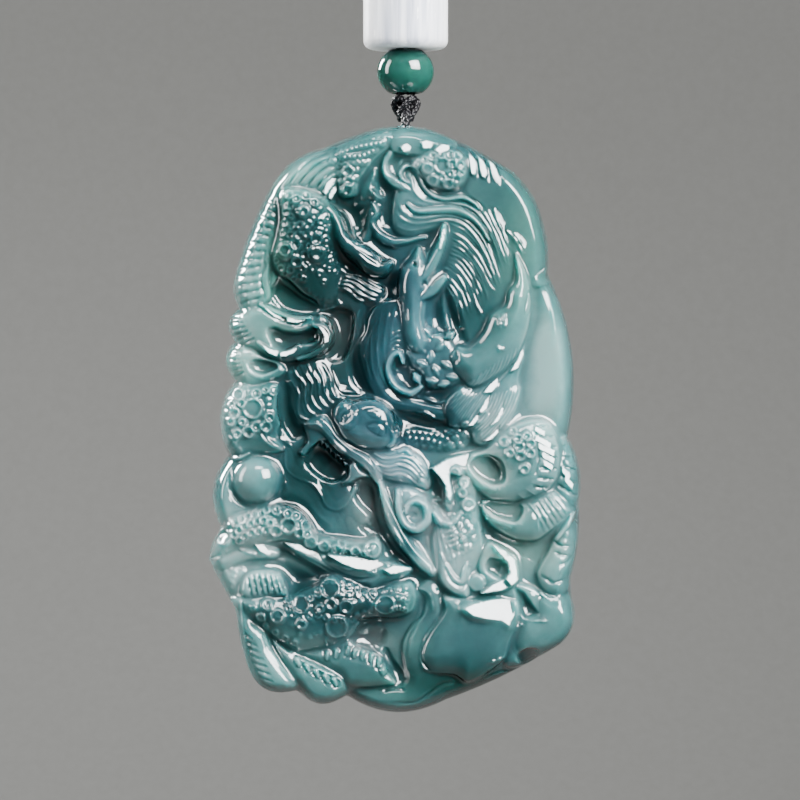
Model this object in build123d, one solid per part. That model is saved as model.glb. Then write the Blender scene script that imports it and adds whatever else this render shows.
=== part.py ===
from build123d import *
import os
import numpy as np

# A carved jade pendant: a dragon and phoenix plaque hangs on a black knotted
# cord below an oblate green bead and a white barrel bead.
# Millimetres, +Z up, the carved front faces -Y. The origin is the inside of
# the top of the hanging loop, where the pendant hangs.

# Carved stone
stone_width = 43.1
stone_height = 68.0
front_rise = 7.4        # seam to the uncarved front, at the middle
back_rise = 4.6         # seam to the plain domed back
relief_rise = 2.2       # how far the highest carved forms stand up
hollow_depth = 4.2      # how far the deepest hollows go in
hollow_slope = 0.7      # share of a hollow's half size that its wall takes
hanging_point = 0.53    # share of the width, from the left edge
crest_gap = 0.5         # knot to the stone's crest
inlet_forward = 2.6     # bore's inlet in front of the seam
inlet_drop = 0.75       # and below the crest
outlet_drop = 5.3       # bore's outlet at the back, below the crest

# Cord, knot and bores
strand_diameter = 1.2
strand_gap = 0.06       # between the two strands, side by side
bore_clearance = 0.35   # all round a strand, in the stone and in the beads
knot_diameter = 3.5
knot_height = 3.4
knot_wraps = 3
loop_width = 9.0
loop_height = 13.0      # barrel bead to the inside of the loop's top

# Beads
bead_diameter = 6.6
bead_height = 5.0
barrel_diameter = 9.8
barrel_length = 13.0
barrel_round = 1.0
flat_margin = 0.35      # a bead's flat end, outside its bore
piece_gap = 0.1         # between pieces threaded one above the other

# Heights of the stack, from the loop down to the stone
loop_top = strand_diameter / 2
barrel_top = -loop_height
bead_top = barrel_top - barrel_length - piece_gap
knot_top = bead_top - bead_height - piece_gap
knot_foot = knot_top - knot_height
strand_offset = (strand_diameter + strand_gap) / 2
thread_bore = 2 * (strand_offset + strand_diameter / 2 + bore_clearance)
stone_bore = strand_diameter + 2 * bore_clearance
bead_flat = thread_bore / 2 + flat_margin

# Outline, clockwise from the left of the top, in thousandths of the stone's
# width (x, from the left) and height (y, down from the top). Each row is an
# arc from the row before to this end; bulge is its height over its chord.
OUTLINE = [
    ("crest", 600, 4, 0.08),
    ("right shoulder", 820, 76, 0.03),
    ("right shoulder round", 900, 162, 0.08),
    ("upper right edge", 912, 250, 0.05),
    ("right edge", 966, 528, 0.09),
    ("belly bulge", 996, 640, 0.10),
    ("coil bulge", 976, 765, 0.05),
    ("lower right notch", 979, 804, -0.03),
    ("lower right lobe", 948, 880, 0.17),
    ("base right", 641, 975, 0.03),
    ("base middle lobe", 371, 969, 0.15),
    ("base second lobe", 237, 960, 0.22),
    ("base left lobe", 98, 910, 0.24),
    ("lower left edge", 70, 820, 0.03),
    ("lower left slope", 0, 737, 0.02),
    ("coil end", 33, 682, 0.08),
    ("pearl lobe", 53, 558, 0.17),
    ("bubble lobe", 69, 431, 0.16),
    ("third plate lobe", 68, 364, 0.23),
    ("second plate lobe", 80, 307, 0.24),
    ("first plate lobe", 73, 248, 0.12),
    ("left edge", 169, 100, 0.03),
    ("left shoulder", 309, 36, 0.12),
    ("left of the crest", 400, 12, 0.02),
]

# Rounded forms that follow a path: half width in thousandths of the stone's
# width, rise as a share of relief_rise, then the path's points as above.
COILS = [
    ("shoulder fin", 60, 0.45, [(330, 45), (265, 80), (215, 112)]),
    ("bubbled back", 80, 0.80, [(320, 80), (255, 120), (235, 180), (265, 225), (325, 245)]),
    ("smooth edge", 22, 0.50, [(195, 115), (175, 180), (178, 250)]),
    ("belly plates", 38, 0.45, [(135, 175), (105, 235), (98, 292)]),
    ("first lip", 26, 0.55, [(110, 300), (180, 328), (270, 330), (315, 312)]),
    ("hook", 24, 0.75, [(285, 334), (325, 350), (300, 383), (210, 392), (120, 370)]),
    ("second plate", 34, 0.45, [(75, 340), (130, 345)]),
    ("third plate", 34, 0.45, [(70, 400), (120, 425), (190, 420)]),
    ("bubbled flank", 58, 0.60, [(85, 460), (100, 510), (85, 550)]),
    ("pearl lobe", 50, 0.50, [(45, 585), (40, 640), (75, 665)]),
    ("mane", 60, 0.65, [(255, 395), (262, 445), (290, 490)]),
    ("mane front", 45, 0.60, [(335, 410), (350, 445), (395, 462)]),
    ("snout", 62, 1.00, [(375, 495), (430, 510), (470, 522)]),
    ("upper jaw", 34, 0.75, [(285, 505), (350, 548), (430, 572), (540, 578)]),
    ("lower jaw", 32, 0.70, [(212, 560), (240, 605), (300, 638), (350, 645), (388, 615)]),
    ("whiskers", 45, 0.70, [(450, 560), (510, 590), (545, 600)]),
    ("throat", 55, 0.25, [(230, 620), (290, 680), (370, 680)]),
    ("bubbled coil", 62, 0.80, [(30, 705), (120, 680), (215, 680), (310, 712), (440, 722)]),
    ("smooth coil", 42, 0.75, [(120, 725), (230, 722), (360, 745), (520, 745)]),
    ("ribbed fin", 55, 0.60, [(90, 790), (150, 778), (200, 785)]),
    ("lower coil", 105, 0.75, [(150, 845), (230, 850), (340, 825), (490, 795)]),
    ("left base leaf", 62, 0.50, [(115, 850), (140, 910), (210, 950)]),
    ("middle base leaf", 48, 0.50, [(245, 915), (300, 950), (365, 962)]),
    ("right base leaf", 58, 0.55, [(330, 900), (410, 925), (480, 940)]),
    ("base ridge", 26, 0.45, [(590, 800), (545, 860), (530, 910), (580, 945), (690, 950)]),
    ("inner collar", 30, 0.85, [(480, 615), (505, 675), (560, 735), (590, 780)]),
    ("curl", 34, 0.90, [(510, 640), (535, 680), (580, 672), (585, 645), (548, 628)]),
    ("beast brow", 40, 0.80, [(600, 655), (625, 715), (650, 690), (720, 655)]),
    ("beast muzzle", 52, 0.90, [(640, 735), (700, 715), (710, 660)]),
    ("beast haunch", 52, 0.85, [(640, 760), (690, 785), (740, 775)]),
    ("coin ring", 20, 0.95, [(745, 745), (775, 718), (815, 735), (820, 780), (770, 780), (745, 745)]),
    ("first body coil", 52, 0.80, [(715, 605), (800, 622), (880, 605), (935, 560), (900, 510)]),
    ("second body coil", 48, 0.75, [(740, 650), (800, 688), (890, 680), (960, 635), (985, 590)]),
    ("third body coil", 48, 0.60, [(960, 670), (955, 730), (900, 770), (870, 820)]),
    ("lower right lobe", 45, 0.50, [(850, 880), (920, 850), (960, 830)]),
    ("phoenix neck", 42, 1.00, [(560, 215), (545, 265), (550, 325), (560, 375)]),
    ("phoenix crest", 16, 1.00, [(636, 170), (622, 215), (590, 262), (625, 262)]),
    ("phoenix breast", 62, 0.85, [(500, 345), (452, 390), (460, 435), (530, 470), (620, 482)]),
    ("rosette", 66, 0.80, [(570, 395), (640, 400)]),
    ("wing", 64, 0.95, [(850, 240), (848, 300), (800, 350), (740, 395), (680, 420)]),
    ("wing tips", 60, 0.70, [(800, 430), (740, 480), (690, 535)]),
    ("tail plume", 50, 0.80, [(520, 85), (600, 118), (700, 118), (790, 85), (850, 125), (885, 190)]),
    ("ribbon", 34, 0.85, [(345, 150), (375, 190), (425, 215), (462, 238)]),
    ("second ribbon", 26, 0.60, [(350, 262), (410, 272), (455, 290)]),
    ("side slab", 50, 0.30, [(905, 300), (915, 400), (905, 470)]),
]

# Round bosses: centre, radius in thousandths of the width, rise as above.
BOSSES = [
    ("pearl", 128, 597, 70, 1.30),
    ("crown bubbles", 620, 65, 74, 0.70),
    ("edge bubbles", 400, 36, 60, 0.50),
    ("eye", 372, 487, 34, 1.15),
    ("coil pearl", 441, 718, 24, 1.00),
    ("flank bubble", 118, 477, 28, 0.85),
    ("coil bubble", 325, 783, 28, 1.00),
    ("horn bead", 700, 640, 20, 1.05),
    ("coin", 733, 774, 32, 0.95),
]

# Hollows: centre, half width in thousandths of the width, half height in
# thousandths of the height, turn in degrees, depth as a share of hollow_depth.
HOLLOWS = [
    ("crown hollow", 375, 135, 48, 34, 0, 0.60),
    ("second crown hollow", 470, 133, 28, 32, 0, 0.55),
    ("coil hollow", 240, 285, 78, 34, -12, 0.60),
    ("hook hollow", 222, 357, 66, 20, 0, 0.60),
    ("plate hollow", 147, 404, 40, 16, 0, 0.30),
    ("back hollow", 352, 345, 46, 46, 0, 0.75),
    ("ribbon hollow", 385, 240, 34, 20, -30, 0.55),
    ("neck hollow", 490, 270, 26, 80, 0, 0.60),
    ("mane hollow", 208, 482, 40, 48, -20, 0.70),
    ("mouth", 318, 570, 54, 30, -20, 1.00),
    ("throat hollow", 445, 645, 58, 58, -20, 0.90),
    ("pearl hollow", 255, 655, 50, 24, -20, 0.45),
    ("long groove", 480, 475, 110, 22, -35, 0.60),
    ("eye hollow", 608, 325, 24, 25, 0, 0.60),
    ("feather hollow", 690, 340, 45, 35, 30, 0.40),
    ("leaf hollow", 530, 420, 36, 26, 0, 0.45),
    ("lower groove", 560, 500, 70, 14, 0, 0.55),
    ("beast hollow", 585, 600, 28, 34, 0, 0.50),
    ("first coil hollow", 750, 583, 50, 26, -10, 0.50),
    ("second coil hollow", 790, 652, 56, 20, -12, 0.55),
    ("third coil hollow", 815, 712, 92, 18, -10, 0.50),
    ("dark coil hollow", 240, 765, 48, 26, 0, 0.50),
    ("pond", 705, 872, 120, 62, 10, 0.45),
    ("base hollow", 430, 872, 52, 20, 0, 0.70),
    ("narrow hollow", 497, 918, 20, 38, 30, 0.60),
    ("corner hollow", 872, 812, 24, 22, 0, 0.40),
    ("edge hollow", 862, 903, 32, 16, 20, 0.30),
]

# Mesh of the stone, and how its edge turns over
cells_across = 60         # over the front
cells_up = 92
edge_crowding = 0.5       # how much finer the cells are at the edge
carving_reach = 0.8       # each point takes the mean carving this far round it
edge_squareness = 7       # higher is a flatter front with a tighter edge
front_dome = 0.22         # share of front_rise that is a broad dome
carving_margin = 0.10     # the carving fades out over this share of the radius
back_rings = [(0.985, 1), (0.95, 2), (0.88, 2), (0.72, 4), (0.45, 8)]
arc_steps = 6


def in_stone(x, y):
    """Thousandths of the outline's box to millimetres from the stone's middle."""
    return (x / 1000 - 0.5) * stone_width, (0.5 - y / 1000) * stone_height


def arc_points(start, end, bulge):
    """Points along an arc from start, left out, to end."""
    start, end = np.array(start), np.array(end)
    chord = end - start
    left = np.array([-chord[1], chord[0]])
    share = np.arange(1, arc_steps + 1) / arc_steps
    height = 4 * bulge * share * (1 - share)
    return start + share[:, None] * chord + height[:, None] * left


def outline_points():
    """The stone's outline in millimetres, clockwise."""
    points = []
    last = in_stone(*OUTLINE[-1][1:3])
    for name, x, y, bulge in OUTLINE:
        end = in_stone(x, y)
        points.extend(arc_points(last, end, bulge))
        last = end
    return np.array(points)


outline = outline_points()
outline_angle = np.arctan2(outline[:, 1], outline[:, 0])
outline_radius = np.hypot(outline[:, 0], outline[:, 1])


def edge_radius(angle):
    """Distance from the stone's middle to its edge at an angle."""
    return np.interp(angle, outline_angle[::-1], outline_radius[::-1], period=2 * np.pi)


def path_distance(x, y, points):
    """Distance from each place to a path of straight runs."""
    path = np.array([in_stone(*point) for point in points])
    nearest = np.full(x.shape, np.inf)
    for start, end in zip(path, path[1:]):
        step = end - start
        share = np.clip(((x - start[0]) * step[0] + (y - start[1]) * step[1]) / (step @ step), 0, 1)
        nearest = np.minimum(nearest, np.hypot(x - start[0] - share * step[0], y - start[1] - share * step[1]))
    return nearest


def smooth(share):
    share = np.clip(share, 0, 1)
    return share * share * (3 - 2 * share)


def carving(x, y):
    """Height of the carving over the plain front, in millimetres."""
    height = np.zeros(x.shape)
    for name, half_width, rise, points in COILS:
        width = half_width / 1000 * stone_width
        away = path_distance(x, y, points) / width
        crown = np.sqrt(np.clip(1 - away ** 2, 0, None))
        height = np.maximum(height, rise * relief_rise * crown)
    for name, boss_x, boss_y, radius, rise in BOSSES:
        middle_x, middle_y = in_stone(boss_x, boss_y)
        away = np.hypot(x - middle_x, y - middle_y) / (radius / 1000 * stone_width)
        height = np.maximum(height, rise * relief_rise * np.sqrt(np.clip(1 - away ** 2, 0, None)))
    for name, hollow_x, hollow_y, half_width, half_height, turn, depth in HOLLOWS:
        middle_x, middle_y = in_stone(hollow_x, hollow_y)
        cosine, sine = np.cos(np.radians(turn)), np.sin(np.radians(turn))
        across = (x - middle_x) * cosine + (y - middle_y) * sine
        up = (y - middle_y) * cosine - (x - middle_x) * sine
        away = np.hypot(across / (half_width / 1000 * stone_width), up / (half_height / 1000 * stone_height))
        inside = smooth((1.25 - away) / hollow_slope)
        height = height * (1 - inside) - inside * depth * hollow_depth
    return height


def mean_carving(x, y):
    """The carving averaged over a small ring, so that the cells can hold it."""
    turns = np.arange(8) * np.pi / 4
    ring = [carving(x + carving_reach * np.cos(turn), y + carving_reach * np.sin(turn)) for turn in turns]
    return (carving(x, y) + sum(ring)) / (1 + len(ring))


def front_height(x, y, share):
    """How far the front stands in front of the seam, share from middle to edge."""
    turned_edge = np.sqrt(np.clip(1 - share ** edge_squareness, 0, None))
    plain = front_rise * ((1 - front_dome) * turned_edge + front_dome * np.clip(1 - share ** 2, 0, None))
    return np.maximum(plain + mean_carving(x, y) * smooth((1 - share) / carving_margin), 0)


def place_on_front(column, row):
    """A point of the front, from a square grid laid over the stone."""
    across = 2 * column / cells_across - 1
    up = 1 - 2 * row / cells_up
    disc_x = across * np.sqrt(1 - up ** 2 / 2)
    disc_y = up * np.sqrt(1 - across ** 2 / 2)
    share = np.clip(np.hypot(disc_x, disc_y), 0, 1)
    share = np.clip(share + edge_crowding * np.sin(np.pi * share) / np.pi, 0, 1)
    angle = np.arctan2(disc_y, disc_x)
    x, y = share * edge_radius(angle) * np.cos(angle), share * edge_radius(angle) * np.sin(angle)
    return np.stack([x, -front_height(x, y, share), y], axis=-1)


def front_faces():
    """Corners of the front's triangles, and the points round its edge."""
    columns, rows = np.meshgrid(np.arange(cells_across + 1), np.arange(cells_up + 1), indexing="ij")
    grid = place_on_front(columns, rows)
    faces = []
    for i in range(cells_across):
        for j in range(cells_up):
            a, b, c, d = grid[i, j], grid[i, j + 1], grid[i + 1, j + 1], grid[i + 1, j]
            # The shorter diagonal follows the ridges and valleys
            if np.linalg.norm(a - c) < np.linalg.norm(b - d):
                faces += [(a, b, c), (a, c, d)]
            else:
                faces += [(a, b, d), (b, c, d)]
    rim = [*grid[0, :-1], *grid[:-1, -1], *grid[-1, :0:-1], *grid[:0:-1, 0]]
    return faces, np.array(rim)


def back_faces(rim):
    """Corners of the domed back's triangles, in rings inward from the rim."""
    faces = []
    outer = rim
    for share, thinning in back_rings:
        inner = rim[::thinning] * share
        rise = back_rise * np.sqrt(1 - share ** edge_squareness)
        inner = np.column_stack([inner[:, 0], np.full(len(inner), rise), inner[:, 2]])
        step = len(outer) // len(inner)
        for k in range(len(inner)):
            here, following = inner[k], inner[(k + 1) % len(inner)]
            for j in range(step):
                first, second = outer[k * step + j], outer[(k * step + j + 1) % len(outer)]
                faces.append((here, second, first))
            faces.append((here, following, outer[((k + 1) * step) % len(outer)]))
        outer = inner
    crown = np.array([0, back_rise, 0])
    for k in range(len(outer)):
        faces.append((crown, outer[(k + 1) % len(outer)], outer[k]))
    return faces


def cord_along(points):
    """A round strand along straight runs joined by tangent arcs."""
    path = FilletPolyline(*points, radius=bend_radii(points))
    end = Plane(origin=points[0], z_dir=Vector(*points[1]) - Vector(*points[0]))
    return sweep(end * Circle(strand_diameter / 2), path=path)


def bend_radii(points):
    """The largest arc that each corner's two runs allow."""
    radii = []
    for before, corner, after in zip(points, points[1:], points[2:]):
        first, second = Vector(*corner) - Vector(*before), Vector(*after) - Vector(*corner)
        turn = np.radians(first.get_angle(second))
        radii.append(0.45 * min(first.length, second.length) / np.tan(turn / 2))
    return radii


# The stone hangs from the point of its crest that lies under the knot
bore_x = (hanging_point - 0.5) * stone_width
upper_outline = outline[outline[:, 1] > 0]
upper_outline = upper_outline[np.argsort(upper_outline[:, 0])]
bore_top = np.interp(bore_x, upper_outline[:, 0], upper_outline[:, 1])
crest_height = knot_foot - crest_gap
stone_centre = Location((-bore_x, 0, crest_height - bore_top))

# The bore slants from just in front of the crest down to the back
bore_inlet = Vector(0, -inlet_forward, crest_height - inlet_drop)
bore_outlet = Vector(0, 0.85 * back_rise, crest_height - outlet_drop)
bore_run = bore_outlet - bore_inlet


def carved_stone():
    """The plaque: carved front, domed plain back and the slanted bore."""
    faces, rim = front_faces()
    faces += back_faces(rim)
    shell = Shell([Face(Wire.make_polygon([tuple(corner) for corner in face])) for face in faces])
    plaque = stone_centre * Solid(shell)
    overrun = stone_bore
    bore_start = bore_inlet - bore_run.normalized() * overrun
    bore = Plane(origin=bore_start, z_dir=bore_run) * Cylinder(
        stone_bore / 2, bore_run.length + 2 * overrun, align=(Align.CENTER, Align.CENTER, Align.MIN))
    return plaque - bore


def stone_loop():
    """One strand from the knot through the bore and back up behind the crest."""
    route = [
        (0, -1.25, crest_height + 1.7),
        (0, -inlet_forward, crest_height - inlet_drop),
        (0, 4.6, crest_height - 5.8),
        (0, 5.3, crest_height - 3.7),
        (0, 3.6, crest_height - 1.0),
        (0, 1.9, crest_height + 0.35),
        (0, 0.3, crest_height + 1.9),
    ]
    print("stone loop bend radii", [round(float(radius), 1) for radius in bend_radii(route)])
    return cord_along(route) - cord_knot()


def cord_knot():
    """Wraps of the cord, tied under the green bead."""
    wrap = knot_height / knot_wraps
    waist = knot_diameter / 2 - wrap * 0.22
    with BuildPart() as knot:
        with BuildSketch(Plane.XZ):
            with BuildLine():
                Line((0, knot_top), (waist, knot_top))
                for turn in range(knot_wraps):
                    upper = knot_top - turn * wrap
                    ThreePointArc((waist, upper), (knot_diameter / 2, upper - wrap / 2), (waist, upper - wrap))
                Line((waist, knot_foot), (0, knot_foot))
                Line((0, knot_foot), (0, knot_top))
            make_face()
        revolve(axis=Axis.Z)
    return knot.part


def drilled_bead(diameter, height, top, flat, corner_round):
    """A bead turned about its bore: an oblate one, or a barrel with rounded rims."""
    radius = diameter / 2
    foot = top - height
    with BuildPart() as bead:
        with BuildSketch(Plane.XZ):
            with BuildLine():
                Line((0, top), (flat, top))
                if corner_round:
                    Line((flat, top), (radius - corner_round, top))
                    RadiusArc((radius - corner_round, top), (radius, top - corner_round), corner_round)
                    Line((radius, top - corner_round), (radius, foot + corner_round))
                    RadiusArc((radius, foot + corner_round), (radius - corner_round, foot), corner_round)
                    Line((radius - corner_round, foot), (flat, foot))
                else:
                    ThreePointArc((flat, top), (radius, (top + foot) / 2), (flat, foot))
                Line((flat, foot), (0, foot))
                Line((0, foot), (0, top))
            make_face()
        revolve(axis=Axis.Z)
        with Locations((0, 0, (top + foot) / 2)):
            Cylinder(thread_bore / 2, height * 1.2, mode=Mode.SUBTRACT)
    return bead.part


def hanging_cord():
    """The doubled cord from the knot through both beads, and the loop above."""
    side = loop_width / 2
    half = [
        (-strand_offset, 0, knot_top),
        (-strand_offset, 0, barrel_top + 0.12 * loop_height),
        (-0.86 * side, 0, barrel_top + 0.45 * loop_height),
        (-side, 0, barrel_top + 0.82 * loop_height),
        (-0.45 * side, 0, loop_top),
    ]
    route = half + [(-x, y, z) for x, y, z in reversed(half)]
    print("hanging loop bend radii", [round(float(radius), 1) for radius in bend_radii(route)])
    return cord_along(route)


pieces = {
    "carved_stone": carved_stone(),
    "stone_loop": stone_loop(),
    "cord_knot": cord_knot(),
    "green_bead": drilled_bead(bead_diameter, bead_height, bead_top, bead_flat, 0),
    "barrel_bead": drilled_bead(barrel_diameter, barrel_length, barrel_top, bead_flat, barrel_round),
    "hanging_cord": hanging_cord(),
}

os.makedirs("parts", exist_ok=True)
for name, piece in pieces.items():
    export_step(piece, f"parts/{name}.step", write_pcurves=False)
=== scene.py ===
import bpy
import numpy as np
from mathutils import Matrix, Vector


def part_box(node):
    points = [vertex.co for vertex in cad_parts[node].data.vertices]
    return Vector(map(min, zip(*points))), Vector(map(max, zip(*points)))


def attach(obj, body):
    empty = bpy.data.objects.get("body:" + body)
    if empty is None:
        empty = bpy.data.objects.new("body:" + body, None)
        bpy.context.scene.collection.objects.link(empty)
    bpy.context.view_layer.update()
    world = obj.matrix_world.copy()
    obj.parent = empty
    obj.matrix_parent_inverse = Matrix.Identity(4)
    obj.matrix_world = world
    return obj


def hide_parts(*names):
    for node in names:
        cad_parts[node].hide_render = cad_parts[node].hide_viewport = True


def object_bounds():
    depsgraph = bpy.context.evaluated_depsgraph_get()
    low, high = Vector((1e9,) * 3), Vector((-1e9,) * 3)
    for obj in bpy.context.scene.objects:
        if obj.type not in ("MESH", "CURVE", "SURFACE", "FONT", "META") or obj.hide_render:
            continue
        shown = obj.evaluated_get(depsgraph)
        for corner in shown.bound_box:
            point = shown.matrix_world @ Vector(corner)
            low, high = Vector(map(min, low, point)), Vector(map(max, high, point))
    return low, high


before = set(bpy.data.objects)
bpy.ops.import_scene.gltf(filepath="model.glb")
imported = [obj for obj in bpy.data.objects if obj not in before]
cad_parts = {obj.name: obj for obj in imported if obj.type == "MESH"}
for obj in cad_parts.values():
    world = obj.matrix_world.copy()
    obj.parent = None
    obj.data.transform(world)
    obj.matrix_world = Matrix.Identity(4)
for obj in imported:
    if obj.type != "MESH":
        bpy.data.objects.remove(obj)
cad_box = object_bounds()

# View: the photograph is taken square on to the carving, from a little above
# its middle. The stone hangs over a plain pale floor, in soft studio light.
view_centre = Vector((-0.00065, 0, -0.0667))
view_distance = 0.4
view_width = 0.093        # across the picture, at the stone
view_rise = 0.008         # of the camera, above the view's centre
floor_depth = 0.3         # of the floor, below the stone's lowest point


def placed(name, data):
    """A new object in the scene, with its mesh, curve, light or camera."""
    item = bpy.data.objects.new(name, data)
    bpy.context.collection.objects.link(item)
    return item


camera = placed("camera", bpy.data.cameras.new("camera"))
camera.data.lens = camera.data.sensor_width * view_distance / view_width
camera.location = view_centre + Vector((0, -view_distance, view_rise))
camera.rotation_euler = (view_centre - camera.location).to_track_quat("-Z", "Y").to_euler()
bpy.context.scene.camera = camera


def linear(hex_colour):
    """An sRGB hex colour as the linear values that a shader takes."""
    parts = [int(hex_colour[k:k + 2], 16) / 255 for k in (1, 3, 5)]
    parts = [part / 12.92 if part <= 0.04045 else ((part + 0.055) / 1.055) ** 2.4 for part in parts]
    return (*parts, 1)


def add_node(tree, kind, settings=(), links=()):
    """A node with its settings and links, by a socket's number or name or a property's name."""
    node = tree.nodes.new(kind)
    for key, value in dict(settings).items():
        if isinstance(key, int) or key in node.inputs:
            node.inputs[key].default_value = value
        else:
            setattr(node, key, value)
    for key, source in dict(links).items():
        tree.links.new(source, node.inputs[key])
    return node


def new_material(name):
    """An empty material's tree and its surface output."""
    material = bpy.data.materials.new(name)
    material.use_nodes = True
    material.node_tree.nodes.clear()
    return material, material.node_tree, material.node_tree.nodes.new("ShaderNodeOutputMaterial")


def soft_light(name, place, size, power, aim=(0, 0, 0), spread=50):
    """A softbox, placed and aimed from the view's centre, that keeps its light within a cone."""
    light = placed(name, bpy.data.lights.new(name, "AREA"))
    light.data.shape = "RECTANGLE"
    light.data.size, light.data.size_y = size
    light.data.energy = power
    light.data.spread = np.radians(spread)
    light.location = view_centre + Vector(place)
    light.rotation_euler = (Vector(aim) - Vector(place)).to_track_quat("-Z", "Y").to_euler()


soft_light("upper right softbox", (0.30, -0.33, 0.26), (0.35, 0.36), 4.4, spread=80)
soft_light("top softbox", (0.02, -0.24, 0.42), (0.30, 0.12), 0.25)
soft_light("left softbox", (-0.47, -0.06, 0.17), (0.15, 0.44), 0.75, spread=80)
soft_light("rear left softbox", (-0.34, 0.31, 0.19), (0.11, 0.20), 0.7)
soft_light("backdrop light", (0, 0.5, 0.9), (1.6, 0.4), 7.0, aim=(0, 1.4, -0.1), spread=100)

world = bpy.data.worlds.new("studio")
world.use_nodes = True
world.node_tree.nodes["Background"].inputs["Color"].default_value = linear("#c9cdd0")
world.node_tree.nodes["Background"].inputs["Strength"].default_value = 0.2
bpy.context.scene.world = world

floor_mesh = bpy.data.meshes.new("floor")
floor_level = cad_box[0][2] - floor_depth
floor_reach = 3.0         # to each side of the stone
sweep_start = 0.9         # behind the stone, where the floor curves up into a wall
sweep_radius = 0.5
sweep_top = 2.5
turns = np.linspace(0, np.pi / 2, 17)
sweep = zip(sweep_start + sweep_radius * np.sin(turns), sweep_radius * (1 - np.cos(turns)))
profile = [(-floor_reach, 0), *sweep, (sweep_start + sweep_radius, sweep_top)]
floor_corners = [(x, y, floor_level + z) for y, z in profile for x in (-floor_reach, floor_reach)]
floor_faces = [(2 * k, 2 * k + 1, 2 * k + 3, 2 * k + 2) for k in range(len(profile) - 1)]
floor_mesh.from_pydata(floor_corners, [], floor_faces)
floor_mesh.shade_smooth()
floor = placed("floor", floor_mesh)

# Matt studio paper: pale grey, with a faint mottle about 5 mm wide
floor_material, tree, output = new_material("matt pale grey paper")
places = add_node(tree, "ShaderNodeTexCoord").outputs["Object"]
mottle = add_node(tree, "ShaderNodeTexNoise", {"Scale": 220.0}, {"Vector": places})
floor_colours = {"data_type": "RGBA", 6: linear("#868683"), 7: linear("#8e8e8b")}
floor_colour = add_node(tree, "ShaderNodeMix", floor_colours, {0: mottle.outputs["Fac"]})
surface = add_node(tree, "ShaderNodeBsdfPrincipled", {"Roughness": 0.8},
                   {"Base Color": floor_colour.outputs[2]})
tree.links.new(surface.outputs[0], output.inputs["Surface"])
floor_mesh.materials.append(floor_material)

# Hanging cord: one black braided polyester cord, doubled through both beads
# from the knot, with its loop above the barrel bead. It is limp and waxed.
strand_diameter = 0.0012
strand_side = 0.00063     # of each strand from the middle, so that they lie side by side
barrel_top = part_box("barrel_bead")[1][2]
knot_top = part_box("cord_knot")[1][2]
half_route = [
    (-strand_side, 0, knot_top),
    (-strand_side, 0, barrel_top + 0.00156),
    (-0.00387, 0, barrel_top + 0.00585),
    (-0.0045, 0, barrel_top + 0.01066),
    (-0.002025, 0, 0.0006),
]
hanging_route = half_route + [(-x, y, z) for x, y, z in reversed(half_route)]


def route_curve(name, points, closed=False):
    """A smooth NURBS curve with the route's points as its control points."""
    curve = bpy.data.curves.new(name, "CURVE")
    curve.dimensions = "3D"
    spline = curve.splines.new("NURBS")
    spline.points.add(len(points) - 1)
    for point, place in zip(spline.points, points):
        point.co = (*place, 1)
    spline.order_u = 3
    spline.use_endpoint_u = not closed
    spline.use_cyclic_u = closed
    spline.resolution_u = 16
    return placed(name, curve)


def plain_mesh(piece):
    """A plain mesh of a curve or a piece, as its modifiers leave it."""
    scene_now = bpy.context.evaluated_depsgraph_get()
    return bpy.data.meshes.new_from_object(piece.evaluated_get(scene_now))


# The braid's strands run round the cord both ways, over and under each other
steps_per_lay = 14
strand_sunk = 1.6         # of a strand's radius, from the cord's surface in to its mean line
weave_rise = 0.6          # of a strand's radius, that it goes up and down from there
strand_sides, core_sides = 6, 10
braid = bpy.data.node_groups.new("braided cord", "GeometryNodeTree")
braid.interface.new_socket("Route", in_out="INPUT", socket_type="NodeSocketGeometry")
braid_sizes = {}
BRAID_SIZES = (("Cord radius", "Float", strand_diameter / 2), ("Strand radius", "Float", 0.00017),
               ("Lay length", "Float", 0.0032), ("Strands", "Int", 8))
for size_name, kind, value in BRAID_SIZES:
    socket = braid.interface.new_socket(size_name, in_out="INPUT", socket_type="NodeSocket" + kind)
    socket.default_value = value
    braid_sizes[size_name] = socket.identifier
socket = braid.interface.new_socket("Cord", in_out="INPUT", socket_type="NodeSocketMaterial")
braid_sizes["Cord"] = socket.identifier
braid.interface.new_socket("Braid", in_out="OUTPUT", socket_type="NodeSocketGeometry")
given = add_node(braid, "NodeGroupInput").outputs


def maths(operation, *values):
    """A sum in the braid's tree, of numbers and of other sums."""
    node = add_node(braid, "ShaderNodeMath", {"operation": operation})
    for k, value in enumerate(values):
        if isinstance(value, (int, float)):
            node.inputs[k].default_value = value
        else:
            braid.links.new(value, node.inputs[k])
    return node.outputs[0]


def vector_maths(operation, first, second, key=1):
    """The same for vectors, the second of them at the input with this key."""
    node = add_node(braid, "ShaderNodeVectorMath", {"operation": operation}, {0: first, key: second})
    return node.outputs[0]


step = maths("DIVIDE", given["Lay length"], steps_per_lay)
fine = add_node(braid, "GeometryNodeResampleCurve", {"mode": "LENGTH"},
                {"Curve": given["Route"], "Length": step})
copies = add_node(braid, "GeometryNodeDuplicateElements", {"domain": "SPLINE"},
                  {0: fine.outputs[0], "Amount": given["Strands"]})
number = copies.outputs["Duplicate Index"]
runs_back = maths("MODULO", number, 2)
direction = maths("SUBTRACT", 1, maths("MULTIPLY", runs_back, 2))
lanes = maths("DIVIDE", given["Strands"], 2)
from_start = add_node(braid, "GeometryNodeSplineParameter").outputs["Length"]
along = maths("MULTIPLY", maths("DIVIDE", from_start, given["Lay length"]), 2 * np.pi)
pair = maths("FLOOR", maths("DIVIDE", number, 2))
lane = maths("MULTIPLY", maths("DIVIDE", pair, lanes), 2 * np.pi)
turn = maths("ADD", maths("MULTIPLY", along, direction), lane)
weave = maths("MULTIPLY", maths("COSINE", maths("MULTIPLY", along, lanes)), direction)
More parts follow.
